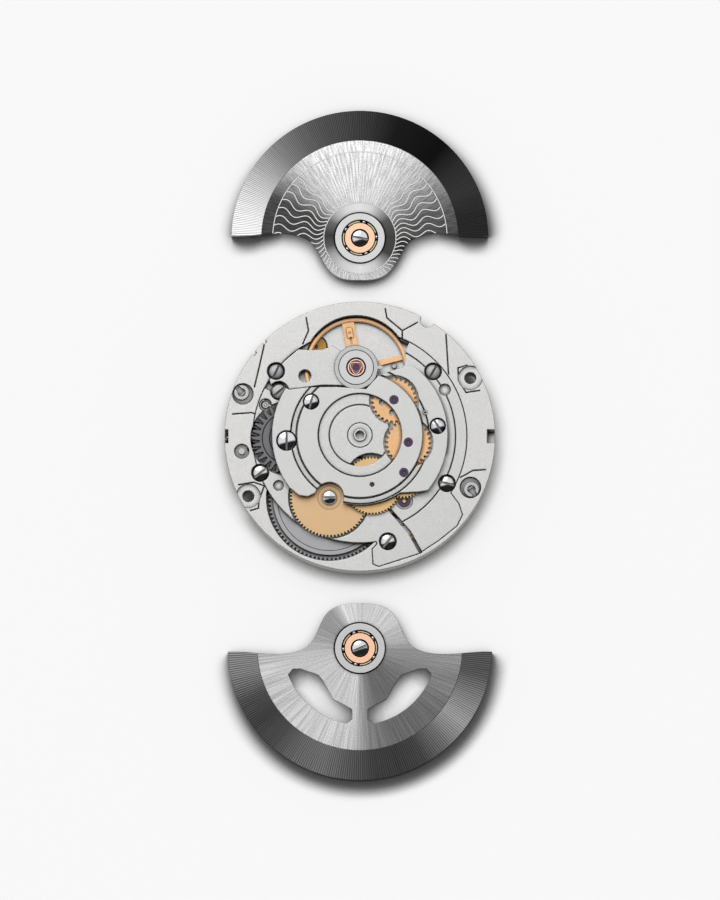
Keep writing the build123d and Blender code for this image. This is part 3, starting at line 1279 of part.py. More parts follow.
def make_rotor(name, radius, inner, edge_shares, place, turn, windows, screw_turn):
    """The six pieces of one rotor, written as separate nodes."""
    axis = (0, place)
    plate_low = rim_height - rotor_plate_thickness
    lip = (radius - inner) * 0.2
    with BuildPart() as weight:
        extrude(rotor_outline(radius, edge_shares, 0, turn, place, inner, radius), amount=rim_height)
        if lip:
            disc(axis, plate_low, rim_height - rotor_plate_thickness / 2, inner + lip, Mode.SUBTRACT)
    keep(weight, f"{name}_weight")

    with BuildPart() as plate:
        extrude(rotor_outline(radius, edge_shares, plate_low, turn, place, 0, inner),
                amount=rotor_plate_thickness)
        lip_face = rotor_outline(radius, edge_shares, plate_low, turn, place, inner - air, inner + lip)
        extrude(lip_face, amount=rotor_plate_thickness / 2)
        disc(axis, rim_height - boss_height, plate_low, race_outer + lip)
        disc(axis, 0, rim_height + overrun, race_outer, Mode.SUBTRACT)
        disc(axis, rim_height - line_depth, rim_height + overrun, race_outer + line_width, Mode.SUBTRACT)
        if windows:
            plane = Plane(origin=(0, place, plate_low), x_dir=(cos(radians(turn)), sin(radians(turn)), 0))
            right = [(radius * x, radius * y) for x, y in window_shares]
            middle_reach = hypot(*right[0])
            for side in (-1, 1):
                corners = [(side * x, y) for x, y in right]
                top = (side * middle_reach * cos(radians(50)), middle_reach * sin(radians(50)))
                with BuildSketch(plane) as window:
                    with BuildLine():
                        Polyline(*corners)
                        ThreePointArc(corners[-1], top, corners[0])
                    make_face()
                    fillet(window.vertices(), radius * 0.012)
                extrude(window.sketch, amount=rotor_plate_thickness + overrun, mode=Mode.SUBTRACT)
    keep(plate, f"{name}_plate")

    orbit = (race_inner + inner_race_radius) / 2
    ball_height = race_top - ball_radius * 1.25

    def raceway():
        with BuildSketch(Plane.XZ) as track:
            with Locations((orbit, ball_height)):
                Circle(ball_radius + running)
        turned = revolve(track.sketch, axis=Axis.Z, mode=Mode.PRIVATE)
        add(Pos(0, place) * turned, mode=Mode.SUBTRACT)

    with BuildPart() as outer_race:
        ring(axis, gear_top - air, race_top, race_outer, race_inner)
        extrude(gear(axis, gear_low, rotor_gear_teeth, auto_module, 0), amount=gear_top - gear_low)
        disc(axis, 0, race_top, race_inner, Mode.SUBTRACT)
        raceway()
    keep(outer_race, f"{name}_outer_race")

    with BuildPart() as inner_race:
        ring(axis, race_low, race_top - air, inner_race_radius, rotor_shank_radius + running)
        cone = Cone(rotor_head_radius, cone_radius + air, head_height + air, mode=Mode.PRIVATE)
        add(Pos(0, place, race_top - (head_height + air) / 2) * cone, mode=Mode.SUBTRACT)
        raceway()
    keep(inner_race, f"{name}_inner_race")

    with BuildPart() as balls:
        for ball in range(ball_count):
            spot_at = step(axis, orbit, screw_turn + ball * 360 / ball_count)
            round_ball = Sphere(ball_radius, mode=Mode.PRIVATE)
            add(Pos(spot_at[0], spot_at[1], ball_height) * round_ball)
    keep(balls, f"{name}_balls")

    with BuildPart() as rotor_screw:
        seat = race_top - head_height
        screw(axis, seat, gear_low, screw_turn - 16, rotor_head_radius - running, head_height,
              rotor_shank_radius)
    keep(rotor_screw, f"{name}_screw")


make_rotor("rotor_a", rotor_a_radius, rotor_a_inner, rotor_a_edge_shares, rotor_a_place, 0, False, 4)
make_rotor("rotor_b", rotor_b_radius, rotor_b_inner, rotor_b_edge_shares, rotor_b_place, 180, True, 39)
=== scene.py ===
from itertools import groupby
from math import atan2, cos, pi, radians, sin

import bpy
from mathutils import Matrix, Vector


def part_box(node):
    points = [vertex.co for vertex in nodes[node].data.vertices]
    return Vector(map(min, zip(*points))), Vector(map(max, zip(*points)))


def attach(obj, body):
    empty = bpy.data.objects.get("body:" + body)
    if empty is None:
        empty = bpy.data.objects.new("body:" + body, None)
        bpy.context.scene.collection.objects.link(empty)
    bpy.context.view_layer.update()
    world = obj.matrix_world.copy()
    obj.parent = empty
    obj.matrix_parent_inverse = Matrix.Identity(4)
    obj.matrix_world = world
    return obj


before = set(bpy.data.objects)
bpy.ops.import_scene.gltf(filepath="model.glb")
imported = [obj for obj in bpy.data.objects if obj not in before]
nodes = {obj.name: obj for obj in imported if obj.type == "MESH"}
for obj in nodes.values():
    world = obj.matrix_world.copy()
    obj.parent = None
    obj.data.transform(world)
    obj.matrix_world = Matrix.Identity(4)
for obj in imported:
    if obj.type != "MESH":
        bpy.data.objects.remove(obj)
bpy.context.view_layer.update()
MM = 0.001
METAL, STONE = 1.0, 0.0


def middle_of(node):
    """Middle of a CAD node's box."""
    low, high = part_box(node)
    return (low + high) / 2


# Places that materials and pieces share, and the radius of the engraved rotor's smooth hub
rotor_a_axis = middle_of("rotor_a_inner_race")
rotor_b_axis = middle_of("rotor_b_inner_race")
barrel_axis = middle_of("ratchet_wheel")
hub_radius = 3.42 * MM


# Node trees: short calls that materials and the world share
class Tree:
    """A node tree, with calls that add nodes to it."""

    def __init__(self, tree):
        self.tree = tree

    def add(self, kind, **settings):
        node = self.tree.nodes.new(kind)
        for key, value in settings.items():
            setattr(node, key, value)
        return node

    def feed(self, socket, value):
        """Links a socket, or sets a plain value on it."""
        if isinstance(value, bpy.types.NodeSocket):
            self.tree.links.new(value, socket)
        else:
            socket.default_value = value

    def math(self, operation, a, b=0.0, c=0.0):
        node = self.add("ShaderNodeMath", operation=operation)
        for socket, value in zip(node.inputs, (a, b, c)):
            self.feed(socket, value)
        return node.outputs[0]

    def vector(self, operation, a, b=(0, 0, 0)):
        node = self.add("ShaderNodeVectorMath", operation=operation)
        self.feed(node.inputs[0], a)
        self.feed(node.inputs[1], b)
        return node.outputs["Value" if operation == "DOT_PRODUCT" else "Vector"]

    def between(self, value, low, high, below, above):
        """Smooth step of a value from one level to another."""
        node = self.add("ShaderNodeMapRange", interpolation_type="SMOOTHSTEP")
        for socket, level in zip(node.inputs[:5], (value, low, high, below, above)):
            self.feed(socket, level)
        return node.outputs[0]


class Paint(Tree):
    """One material, with its shader and the patterns that the looks are made of."""

    def __init__(self, name):
        self.material = bpy.data.materials.new(name)
        self.material.use_nodes = True
        super().__init__(self.material.node_tree)
        self.shader = self.tree.nodes["Principled BSDF"]
        self.place = self.add("ShaderNodeTexCoord").outputs["Object"]

    def parts(self, vector):
        node = self.add("ShaderNodeSeparateXYZ")
        self.feed(node.inputs[0], vector)
        return node.outputs["X"], node.outputs["Y"], node.outputs["Z"]

    def noise(self, size, detail=2.0, vector=None, stretch=None):
        """Noise whose features are about the given size in metres."""
        vector = vector or self.place
        if stretch:
            vector = self.vector("MULTIPLY", vector, stretch)
        node = self.add("ShaderNodeTexNoise")
        self.feed(node.inputs["Vector"], vector)
        self.feed(node.inputs["Scale"], 1 / size)
        self.feed(node.inputs["Detail"], detail)
        return node.outputs["Fac"]

    def ramp(self, value, stops):
        """Colour ramp; each stop is a position and a grey level or a colour."""
        node = self.add("ShaderNodeValToRGB")
        self.feed(node.inputs[0], value)
        elements = node.color_ramp.elements
        while len(elements) > len(stops):
            elements.remove(elements[-1])
        while len(elements) < len(stops):
            elements.new(0.5)
        for element, (position, colour) in zip(elements, stops):
            element.position = position
            element.color = colour_of(colour)
        return node.outputs["Color"]

    def mix(self, share, a, b, blend="MIX"):
        node = self.add("ShaderNodeMix", data_type="RGBA", blend_type=blend)
        self.feed(node.inputs[0], share)
        self.feed(node.inputs[6], colour_of(a))
        self.feed(node.inputs[7], colour_of(b))
        return node.outputs[2]

    def bump(self, height, depth, normal):
        node = self.add("ShaderNodeBump")
        self.feed(node.inputs["Height"], height)
        self.feed(node.inputs["Distance"], depth)
        self.feed(node.inputs["Strength"], 1.0)
        self.feed(node.inputs["Normal"], normal)
        return node.outputs["Normal"]

    def edges(self, radius):
        """Rounded look of sharp edges."""
        node = self.add("ShaderNodeBevel", samples=6)
        self.feed(node.inputs["Radius"], radius)
        return node.outputs["Normal"]

    def painted_crevice_shade(self, colour):
        """Painted shade: darkens a colour where other surfaces stand close, as in grooves and gaps."""
        reach, power, painted_crevice_dark = 0.4 * MM, 2.3, 0.015
        node = self.add("ShaderNodeAmbientOcclusion", samples=8)
        self.feed(node.inputs["Distance"], reach)
        return self.mix(self.math("POWER", node.outputs["AO"], power), painted_crevice_dark, colour)

    def painted_edge_shade(self, colour, bevel, strength=0.9, wall_shade_share=0.55):
        """Painted reflection and shade: dark lines along sharp edges, as polished bevels show them, and
        upright walls painted darker.
        """
        sharp, smooth = 0.86, 0.985
        upright, sloped = 0.2, 0.8
        dark = 0.025
        normal = self.add("ShaderNodeNewGeometry").outputs["Normal"]
        painted_edge_line = self.between(self.vector("DOT_PRODUCT", bevel, normal), sharp, smooth, strength, 0.0)
        slope = self.math("ABSOLUTE", self.parts(normal)[2])
        painted_wall_shade = self.between(slope, upright, sloped, wall_shade_share, 0.0)
        return self.mix(self.math("MAXIMUM", painted_edge_line, painted_wall_shade), colour, dark)

    def polar(self, axis):
        """Distance from an upright axis, and the share of a turn round it."""
        x, y, z = self.parts(self.vector("SUBTRACT", self.place, (axis.x, axis.y, 0)))
        squares = self.math("MULTIPLY", x, x), self.math("MULTIPLY", y, y)
        reach = self.math("SQRT", self.math("ADD", *squares))
        turns = self.math("DIVIDE", self.math("ARCTAN2", y, x), 2 * pi)
        return reach, self.math("FRACT", self.math("ADD", turns, 1))

    def streaks(self, reach, turn, lines, length, size=0.5, detail=2):
        """Noise in polar places: so many cells to the turn, each of a length along the radius."""
        joined = self.add("ShaderNodeCombineXYZ")
        self.feed(joined.inputs[0], self.math("MULTIPLY", turn, lines))
        self.feed(joined.inputs[1], self.math("DIVIDE", reach, length))
        return self.noise(size, detail, joined.outputs[0])

    def finish(self, colour, metallic, roughness, normal=None, shaded=True):
        """Feeds the shader, with painted shade in grooves and gaps if shaded."""
        if shaded:
            colour = self.painted_crevice_shade(colour)
        self.feed(self.shader.inputs["Base Color"], colour_of(colour))
        self.feed(self.shader.inputs["Metallic"], metallic)
        self.feed(self.shader.inputs["Roughness"], roughness)
        if normal:
            self.feed(self.shader.inputs["Normal"], normal)
        return self.material


def colour_of(colour):
    """A socket as it is, or a grey level or a colour with its alpha."""
    if isinstance(colour, bpy.types.NodeSocket):
        return colour
    if isinstance(colour, (int, float)):
        return (colour, colour, colour, 1)
    return (*colour[:3], 1)


def darker(colour, share):
    """A colour with each part cut to a share."""
    return [part * share for part in colour]


def rough_about(paint, middle, spread, size):
    """Roughness that wanders a little round a middle value."""
    return paint.math("MULTIPLY_ADD", paint.noise(size, 3), 2 * spread, middle - spread)


def satin(name, colour, grain=0.09 * MM, depth=0.0015 * MM, roughness=0.36, edge=0.05 * MM):
    """Sandblasted and plated metal, in faint patches, with darker grains, painted dark lines along edges and
    painted shade on upright walls.
    """
    paint = Paint(name)
    grains, patches = paint.noise(grain, 2), paint.noise(3 * MM, 2)
    shade = paint.mix(paint.math("MULTIPLY", patches, 0.35), colour, darker(colour, 0.93))
    speckled = paint.mix(paint.between(grains, 0.35, 0.65, 0.0, 1.0), shade, darker(colour, 0.86))
    bevel = paint.edges(edge)
    painted_edge_shade = paint.painted_edge_shade(speckled, bevel, strength=0.95)
    normal = paint.bump(grains, depth, bevel)
    return paint.finish(painted_edge_shade, METAL, rough_about(paint, roughness, 0.05, 1 * MM), normal)


def polished(name, colour, roughness):
    """Polished metal with faint handling marks."""
    mark, depth, edge = 0.12 * MM, 0.0004 * MM, 0.02 * MM
    paint = Paint(name)
    marks = paint.noise(mark, 4, stretch=(1, 0.25, 1))
    normal = paint.bump(marks, depth, paint.edges(edge))
    return paint.finish(colour, METAL, rough_about(paint, roughness, 0.04, 0.4 * MM), normal)


def screw_head(name, colour, softest=None):
    """Polished screw heads; with a softest roughness, they grow softer towards the balance's side."""
    mark, depth, edge = 0.1 * MM, 0.0006 * MM, 0.03 * MM
    paint = Paint(name)
    roughness = 0.08
    if softest:
        roughness = paint.between(paint.parts(paint.place)[1], 0.0, 3.5 * MM, roughness, softest)
    bevel = paint.edges(edge)
    normal = paint.bump(paint.noise(mark, 3, stretch=(1, 0.3, 1)), depth, bevel)
    # Painted dark lines along the head's edges and painted shade on its upright walls
    painted_edge_shade = paint.painted_edge_shade(colour, bevel, strength=0.6, wall_shade_share=0.5)
    return paint.finish(painted_edge_shade, METAL, roughness, normal)


def turned(name, colour, axis, roughness, dark=0.85):
    """Metal with fine marks round an axis."""
    pitch, depth, edge = 0.06 * MM, 0.001 * MM, 0.02 * MM
    paint = Paint(name)
    marks = paint.streaks(*paint.polar(axis), 2, pitch, 0.3, 3)
    shade = paint.mix(marks, darker(colour, dark), colour)
    normal = paint.bump(marks, depth, paint.edges(edge))
    return paint.finish(shade, METAL, rough_about(paint, roughness, 0.04, 1 * MM), normal)


def gem(name, colour, glow):
    """Polished synthetic stone: a deep colour with paler clouds."""
    cloud, roughness, edge = 0.25 * MM, 0.08, 0.03 * MM
    paint = Paint(name)
    shade = paint.mix(paint.noise(cloud, 2), colour, glow)
    return paint.finish(shade, STONE, roughness, paint.edges(edge))


def rotor_rim(name, axis, painted_sheen_levels, lines):
    """Heavy rim with fine rays, painted sheen and shade of brushed metal that change round it, and painted
    dark edges.
    """
    depth, edge, length = 0.004 * MM, 0.05 * MM, 20 * MM
    palest, darkest = 1.3, 0.25
    paint = Paint(name)
    reach, turn = paint.polar(axis)
    streaks = paint.streaks(reach, turn, lines, length)
    wave = paint.math("SINE", paint.math("MULTIPLY", turn, 2 * pi * lines))
    ray = paint.math("ADD", paint.math("MULTIPLY", wave, 0.45), streaks)
    tone = paint.mix(paint.math("MULTIPLY", ray, 0.75), palest, darkest)
    # Painted sheen: the rim grows lighter and darker with the angle round its axis, as brushed metal reflects
    # the light
    lined = paint.mix(1.0, paint.ramp(turn, painted_sheen_levels), tone, "MULTIPLY")
    bevel = paint.edges(edge)
    normal = paint.bump(ray, depth, bevel)
    return paint.finish(paint.painted_edge_shade(lined, bevel), METAL, 0.32, normal)


def rotor_a_face(name, axis, hub):
    """Ground of the engraved plate, with painted sheen that is pale towards the heavy side and dark to both
    sides, with a smooth hub and painted dark edges.
    """
    depth, edge = 0.003 * MM, 0.1 * MM
    paint = Paint(name)
    reach, turn = paint.polar(axis)
    # Painted sheen: a grey level at each share of a turn round the axis
    ground_with_painted_sheen = paint.ramp(turn, [
        (0.0, 0.085), (0.055, 0.14), (0.1, 0.36), (0.15, 0.7), (0.19, 0.95), (0.27, 1.0), (0.33, 0.95),
        (0.37, 0.62), (0.4, 0.3), (0.43, 0.08), (0.5, 0.07), (0.545, 0.22), (0.6, 0.52), (0.68, 0.72),
        (0.76, 0.78), (0.84, 0.66), (0.9, 0.2), (0.95, 0.04),
    ])
    grain = paint.noise(0.1 * MM, 3)
    marks = paint.math("ADD", grain, paint.streaks(reach, turn, 150, 3 * MM))
    rough = paint.between(marks, 0.8, 1.25, 0.15, 0.95)
    ground_with_painted_sheen = paint.mix(rough, ground_with_painted_sheen, paint.mix(1.0, ground_with_painted_sheen, 0.45, "MULTIPLY"))
    # Painted sheen on the smooth hub, also by the angle round the axis
    smooth = paint.ramp(turn, [
        (0.0, 0.05), (0.097, 0.1), (0.139, 0.32), (0.194, 0.64), (0.25, 0.74), (0.32, 0.66), (0.375, 0.42),
        (0.417, 0.14), (0.486, 0.045), (0.54, 0.1), (0.583, 0.34), (0.653, 0.58), (0.75, 0.74),
        (0.833, 0.58), (0.883, 0.24), (0.917, 0.06),
    ])
    worn = paint.mix(1.0, smooth, 0.6, "MULTIPLY")
    smooth = paint.mix(paint.math("MULTIPLY", grain, 0.5), smooth, worn)
    shade = paint.mix(paint.math("LESS_THAN", reach, hub), ground_with_painted_sheen, smooth)
    bevel = paint.edges(edge)
    normal = paint.bump(marks, depth, bevel)
    return paint.finish(paint.painted_edge_shade(shade, bevel), METAL, 0.36, normal)


def rotor_b_face(name, axis):
    """Plate brushed with fine rays, with painted sheen and shade that change round the axis, and painted dark
    edges.
    """
    depth, edge = 0.003 * MM, 0.1 * MM
    paint = Paint(name)
    reach, turn = paint.polar(axis)
    # Painted sheen: a grey level at each share of a turn round the axis
    shade = paint.ramp(turn, [
        (0.0, 0.43), (0.033, 0.57), (0.067, 0.64), (0.1, 0.73), (0.15, 0.82), (0.25, 0.76), (0.31, 0.92),
        (0.328, 0.62), (0.345, 0.48), (0.367, 0.42), (0.4, 0.39), (0.433, 0.41), (0.467, 0.48), (0.5, 0.6),
        (0.53, 0.72), (0.65, 0.77), (0.738, 0.8), (0.75, 0.5), (0.77, 0.3), (0.8, 0.2), (0.86, 0.19),
        (0.9, 0.23), (0.95, 0.31), (0.98, 0.37),
    ])
    grain = paint.noise(0.1 * MM, 3)
    streaks = paint.math("MULTIPLY", paint.streaks(reach, turn, 220, 12 * MM, detail=3), 0.7)
    streaks = paint.math("MULTIPLY_ADD", grain, 0.6, streaks)
    worn = paint.mix(1.0, shade, 0.55, "MULTIPLY")
    lined = paint.mix(paint.between(streaks, 0.45, 0.85, 0.0, 1.0), shade, worn)
    bevel = paint.edges(edge)
    normal = paint.bump(streaks, depth, bevel)
    return paint.finish(paint.painted_edge_shade(lined, bevel), METAL, 0.34, normal)


plate_satin = satin("plate_satin", (0.7, 0.695, 0.685), edge=0.11 * MM)
bridge_satin = satin("bridge_satin", (0.67, 0.667, 0.66), edge=0.11 * MM)
dial_side = turned("dial_side_turned", (0.64, 0.63, 0.61), Vector((0, 0, 0)), roughness=0.32)
steel = screw_head("screw_steel", (0.5, 0.5, 0.51), softest=0.5)
black_steel = screw_head("black_polished_steel", (0.5, 0.5, 0.52))
plain_steel = satin("plain_steel", (0.5, 0.5, 0.5), 0.04 * MM, 0.0008 * MM, 0.26)
dark_steel = turned("dark_brushed_steel", (0.17, 0.17, 0.18), middle_of("crown_wheel"), roughness=0.28)
barrel_steel = turned("barrel_brushed_steel", (0.42, 0.42, 0.43), barrel_axis, roughness=0.34)
balance_gold = polished("balance_gold", (0.7, 0.42, 0.22), 0.2)
wheel_gold = satin("wheel_gold", (0.74, 0.5, 0.24), 0.04 * MM, 0.0008 * MM, 0.3)
ratchet_gold = turned("ratchet_gold", (0.68, 0.46, 0.26), barrel_axis, roughness=0.32, dark=0.93)
rose_gold = satin("reverser_rose_gold", (0.76, 0.46, 0.24), 0.06 * MM, 0.0008 * MM, 0.26)
copper = polished("race_copper", (0.82, 0.5, 0.34), 0.2)
cage_gold = polished("cage_gold", (0.95, 0.8, 0.55), 0.2)
spring_gold = polished("spring_gold", (0.95, 0.72, 0.62), 0.15)
setting_brown = polished("setting_brown", (0.3, 0.12, 0.1), 0.2)
race_steel = satin("race_steel", (0.62, 0.62, 0.62), 0.05 * MM, 0.001 * MM, 0.32)
ray_steel = polished("ray_steel", (0.72, 0.72, 0.71), 0.28)
ruby = gem("ruby", (0.035, 0.002, 0.08), (0.1, 0.01, 0.2))
pink_jewel = gem("pink_jewel", (0.4, 0.04, 0.22), (0.62, 0.14, 0.38))
amber = gem("amber_bush", (1.0, 0.4, 0.003), (1.0, 0.55, 0.01))
spring_steel = polished("spring_steel", (0.4, 0.43, 0.5), 0.2)
ball_steel = polished("ball_steel", (0.75, 0.75, 0.77), 0.05)

# Painted sheen round each rotor's rim: a grey level at each share of a turn
rim_a = rotor_rim("rotor_a_rim", rotor_a_axis, [
    (0.0, 0.02), (0.033, 0.02), (0.067, 0.032), (0.1, 0.024), (0.133, 0.005), (0.2, 0.01), (0.233, 0.03),
    (0.267, 0.05), (0.3, 0.07), (0.333, 0.11), (0.367, 0.19), (0.4, 0.36), (0.433, 0.57), (0.467, 0.74),
    (0.5, 0.8), (0.52, 0.78), (0.9, 0.05),
], 420)
rim_b = rotor_rim("rotor_b_rim", rotor_b_axis, [
    (0.0, 0.1), (0.5, 0.25), (0.533, 0.22), (0.567, 0.08), (0.6, 0.055), (0.633, 0.08), (0.667, 0.15),
    (0.7, 0.17), (0.733, 0.11), (0.767, 0.06), (0.8, 0.05), (0.833, 0.065), (0.867, 0.18), (0.9, 0.38),
    (0.933, 0.24), (0.967, 0.1),
], 360)

looks = {
    "main_plate": plate_satin, "dial_cover": dial_side,
    "barrel_bridge": bridge_satin, "train_bridge": bridge_satin, "balance_cock": bridge_satin,
    "auto_bridge": bridge_satin, "pallet_bridge": bridge_satin, "dial_locks": plain_steel,
    "locating_pins": plain_steel, "regulator": plain_steel,
    "shock_blocks": race_steel, "shock_setting": setting_brown,
    "bridge_screws": steel, "ratchet_screw": steel, "auto_bridge_screws": black_steel,
    "crown_wheel": dark_steel, "barrel_drum": barrel_steel, "barrel_cover": barrel_steel,
    "ratchet_wheel": ratchet_gold, "reduction_wheel": wheel_gold, "intermediate_wheel": wheel_gold,
    "great_wheel": wheel_gold, "third_wheel": wheel_gold, "seconds_wheel": wheel_gold,
    "minute_wheel": wheel_gold, "hour_wheel": wheel_gold,
    "cannon_pinion": plain_steel, "setting_wheel": plain_steel,
    "escape_wheel": plain_steel, "pallet_fork": plain_steel, "pallet_stones": pink_jewel,
    "reverser_1": rose_gold, "reverser_2": rose_gold, "balance_wheel": balance_gold, "balance_staff": steel,
    "train_jewels": ruby, "auto_jewels": ruby, "plate_bush": amber,
    "hairspring": spring_steel, "mainspring": spring_steel, "click_spring": steel, "click": steel,
    "barrel_arbor": steel, "stem": steel, "winding_pinion": plain_steel, "sliding_pinion": plain_steel,
    "setting_lever": plain_steel, "yoke": plain_steel,
    "rotor_a_plate": rotor_a_face("rotor_a_engraved", rotor_a_axis, hub_radius), "rotor_a_weight": rim_a,
    "rotor_b_plate": rotor_b_face("rotor_b_brushed", rotor_b_axis), "rotor_b_weight": rim_b,
}
for letter in "ab":
    looks[f"rotor_{letter}_outer_race"] = race_steel
    looks[f"rotor_{letter}_inner_race"] = copper
    looks[f"rotor_{letter}_balls"] = ball_steel
    looks[f"rotor_{letter}_screw"] = black_steel

for name, piece in nodes.items():
    piece.data.materials.clear()
    piece.data.materials.append(looks[name])


# Own pieces: low ridges along runs of points
def ridges(name, runs, low, high, material, body):
    """One mesh of low ridges with sloped sides; a run is its points, its half width and whether it closes."""
    points, faces = [], []
    for path, half, closed in runs:
        first, count = len(points), len(path)
        for index, (x, y) in enumerate(path):
            before = path[index - 1] if index or closed else path[0]
            after = path[(index + 1) % count] if index + 1 < count or closed else path[-1]
            way = Vector((after[0] - before[0], after[1] - before[1])).normalized()
            side = Vector((-way.y, way.x))
            crown = 0.6 * half
            for reach, height in ((half, low), (crown, high), (-crown, high), (-half, low)):
                points.append((x + side.x * reach, y + side.y * reach, height))
        for index in range(count if closed else count - 1):
            a, b = first + 4 * index, first + 4 * ((index + 1) % count)
            for corner in range(4):
                after = (corner + 1) % 4
                faces.append((a + corner, a + after, b + after, b + corner))
        if not closed:
            last = first + 4 * (count - 1)
            faces.append((first + 3, first + 2, first + 1, first))
            faces.append((last, last + 1, last + 2, last + 3))
    mesh = bpy.data.meshes.new(name)
    mesh.from_pydata(points, [], faces)
    mesh.materials.append(material)
    piece = bpy.data.objects.new(name, mesh)
    bpy.context.scene.collection.objects.link(piece)
    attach(piece, body)


def spot(axis, radius, turn):
    """The point at a radius from an upright axis, its angle as a share of a turn."""
    return axis.x + radius * cos(2 * pi * turn), axis.y + radius * sin(2 * pi * turn)


def around(axis, radius, start, end, count=48):
    """Points along an arc from one share of a turn to another."""
    return [spot(axis, radius, start + (end - start) * step / count) for step in range(count + 1)]


def on_plate(node, x, y, height):
    """Whether a node's top face lies under a point."""
    start, near = 1 * MM, 0.01 * MM
    hit, place, _, _ = nodes[node].ray_cast(Vector((x, y, height + start)), Vector((0, 0, -1)))
    return hit and abs(place.z - height) < near


def split_runs(path, half, node, height):
    """The stretches of a path that lie on a node's top face."""
    runs = []
    for lies, stretch in groupby(path, lambda point: on_plate(node, *point, height)):
        stretch = list(stretch)
        if lies and len(stretch) > 2:
            runs.append((stretch, half, False))
    return runs


def waved_rays():
    """Waved rays of the engraved rotor, with the lines that bound them.

    Towards its heavy side they are calm and fine, and a fine one lies between each two.
    """
    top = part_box("rotor_a_plate")[1].z
    field, wave, swing, crest = 8.28 * MM, 2.38 * MM, 0.26 * MM, 7.75 * MM
    rays, steps, heavy_side = 60, 60, 0.25
    calm_within, fade, thin_within, doubled_within = 30, 24, 36, 38  # degrees from the heavy side
    runs = []
    for ray in range(2 * rays):
        turn = (ray + 4 / 3) / (2 * rays)
        away = abs(turn - heavy_side) * 360
        added = ray % 2
        if added and away >= doubled_within:
            continue
        waving = 0 if added else min(max((away - calm_within) / fade, 0), 1)
        path = []
        for step in range(steps + 1):
            reach = hub_radius + (field - hub_radius) * step / steps
            sway = -cos(2 * pi * (reach - crest) / wave) * waving * swing / reach / (2 * pi)
            path.append(spot(rotor_a_axis, reach, turn + sway))
        half = (0.03 if added or away < thin_within else 0.055) * MM
        runs += split_runs(path, half, "rotor_a_plate", top)
    for radius in (hub_radius, field):
        runs += split_runs(around(rotor_a_axis, radius, 0, 1, 240), 0.05 * MM, "rotor_a_plate", top)
    ridges("rotor_a_rays", runs, top - 0.002 * MM, top + 0.014 * MM, ray_steel, "frame")


def cages():
    """Cage of each rotor bearing, a link in each gap between its balls."""
    balls, radius, half = 5, 1.57 * MM, 0.075 * MM
    start, end = 0.2, 0.8  # shares of the way from one ball to the next
    for letter, axis in (("a", rotor_a_axis), ("b", rotor_b_axis)):
        low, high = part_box(f"rotor_{letter}_balls")
        height = (low.z + high.z) / 2
        corner = nodes[f"rotor_{letter}_balls"].data.vertices[0].co
        first = atan2(corner.y - axis.y, corner.x - axis.x) / (2 * pi)
        runs = []
        for ball in range(balls):
            link = around(axis, radius, first + (ball + start) / balls, first + (ball + end) / balls, 16)
            runs.append((link, half, False))
        ridges(f"rotor_{letter}_cage", runs, height + 0.1 * MM, height + 0.16 * MM, cage_gold,
               f"rotor_{letter}_balls")


def shock_spring():
    """Flat three-lobed spring over the balance jewel, linked at each lobe to its ring."""
    axis, top = middle_of("shock_setting"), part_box("shock_setting")[1].z
    lobes, first, steps = 3, 0.08, 72
    outline = []
    for step in range(steps):
        turn = step / steps
        reach = (0.53 + 0.09 * cos(2 * pi * lobes * turn)) * MM
        outline.append(spot(axis, reach, turn + first))
    ring = around(axis, 0.74 * MM, 0, 1, 48)[:-1]
    runs = [(ring, 0.06 * MM, True), (outline, 0.04 * MM, True)]
    for lobe in range(lobes):
        link = [spot(axis, reach * MM, lobe / lobes + first) for reach in (0.6, 0.66, 0.72)]
        runs.append((link, 0.04 * MM, False))
    ridges("shock_spring", runs, top + 0.004 * MM, top + 0.05 * MM, spring_gold, "frame")


waved_rays()
cages()
shock_spring()


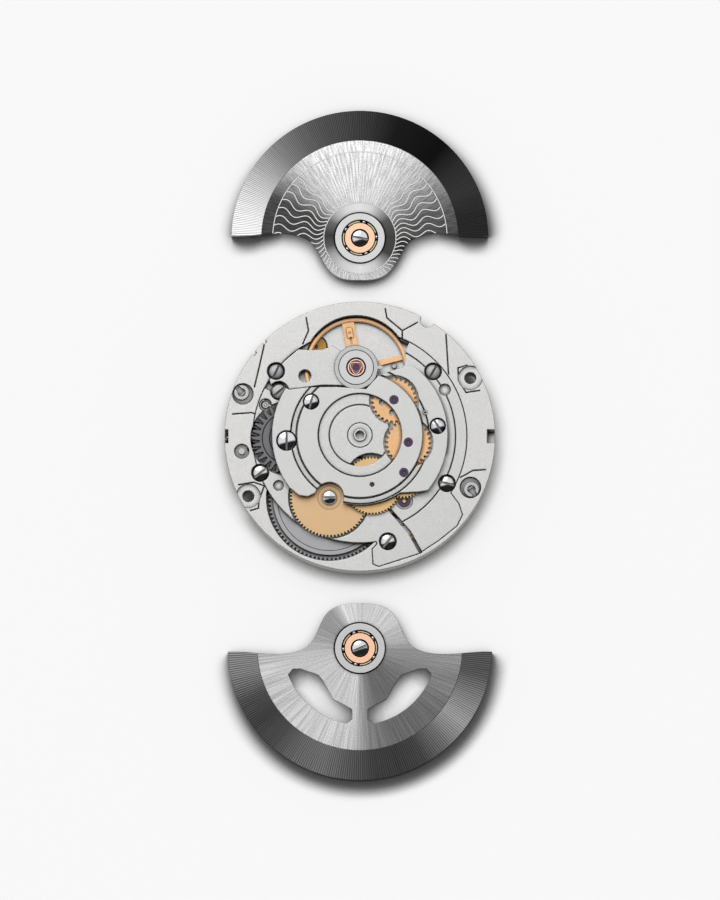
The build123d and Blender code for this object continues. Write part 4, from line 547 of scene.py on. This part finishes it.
# Floor, light and camera
def soft_floor():
    """Pale floor that shows near white to the camera and in reflections; it keeps the object's shadow from
    the lamps, and a painted soft shadow cuts its glow.
    """
    half = 3.0
    corners = [(-half, -half, 0), (half, -half, 0), (half, half, 0), (-half, half, 0)]
    mesh = bpy.data.meshes.new("floor")
    mesh.from_pydata(corners, [], [(0, 1, 2, 3)])
    floor = bpy.data.objects.new("floor", mesh)
    bpy.context.scene.collection.objects.link(floor)
    paint = Paint("pale_floor")
    albedo, roughness, glow = 0.25, 0.9, 0.772
    paint.finish(albedo, STONE, roughness, shaded=False)

    # Painted shadow: points with the object on their far left side lose glow, as if in its soft shadow
    reach, far_left = 2.1 * MM, (-0.18, 0.5, 0.85)
    near = paint.add("ShaderNodeAmbientOcclusion", samples=16)
    paint.feed(near.inputs["Distance"], reach)
    paint.feed(near.inputs["Normal"], paint.vector("NORMALIZE", far_left))
    outside_painted_shadow = paint.between(near.outputs["AO"], 0.52, 0.97, 0.0, 1.0)
    rays = paint.add("ShaderNodeLightPath").outputs
    seen = paint.math("MAXIMUM", rays["Is Camera Ray"], rays["Is Glossy Ray"])
    seen = paint.math("MAXIMUM", seen, rays["Is Transmission Ray"])
    strength = paint.math("MULTIPLY", paint.math("MULTIPLY", seen, outside_painted_shadow), glow)
    paint.feed(paint.shader.inputs["Emission Color"], colour_of(1.0))
    paint.feed(paint.shader.inputs["Emission Strength"], strength)
    mesh.materials.append(paint.material)


def sky():
    """Studio light: a sheet overhead towards the back, a dark band beside it and paler light in front.

    Below that the light is dim, and near the horizon it is pale all round.
    """
    front, band, sheet, dim, horizon = 0.6, 0.03, 1.43, 0.17, 0.85
    world = bpy.data.worlds.new("studio")
    bpy.context.scene.world = world
    world.use_nodes = True
    tree = Tree(world.node_tree)
    way = tree.add("ShaderNodeTexCoord").outputs["Generated"]
    backward = tree.vector("DOT_PRODUCT", way, (-0.25, 0.968, 0))
    height = tree.vector("DOT_PRODUCT", way, (0, 0, 1))
    overhead = tree.between(backward, -0.04, 0.08, tree.between(backward, -0.5, -0.28, front, band), sheet)
    below = tree.between(height, 0.3, 0.56, horizon, dim)
    background = world.node_tree.nodes["Background"]
    tree.feed(background.inputs["Color"], colour_of(1.0))
    tree.feed(background.inputs["Strength"], tree.between(height, 0.66, 0.88, below, overhead))


def lamp(name, place, target, size, power):
    """Round area lamp that faces a point."""
    light = bpy.data.lights.new(name, "AREA")
    light.shape = "DISK"
    light.size = size
    light.energy = power
    holder = bpy.data.objects.new(name, light)
    bpy.context.scene.collection.objects.link(holder)
    holder.location = place
    holder.rotation_euler = (Vector(target) - Vector(place)).to_track_quat("-Z", "Y").to_euler()


def camera():
    """Long lens, straight above with a slight lean, framed as the photograph is."""
    elevation, reach, lens, sensor = radians(84), 0.9, 380, 36
    target = Vector((0.01 * MM, -1.04 * MM, 1.6 * MM))
    data = bpy.data.cameras.new("camera")
    data.sensor_width = sensor
    data.lens = lens
    data.clip_start, data.clip_end = 0.05, 10
    eye = bpy.data.objects.new("camera", data)
    bpy.context.scene.collection.objects.link(eye)
    back = Vector((0, -cos(elevation), sin(elevation)))
    eye.location = target + back * reach
    eye.rotation_euler = (-back).to_track_quat("-Z", "Y").to_euler()
    bpy.context.scene.camera = eye


soft_floor()
sky()
lamp("key", place=(-0.12, 0.3, 0.55), target=(0, 0, 0), size=0.3, power=0.5)
camera()
bpy.context.scene.view_settings.view_transform = "Standard"
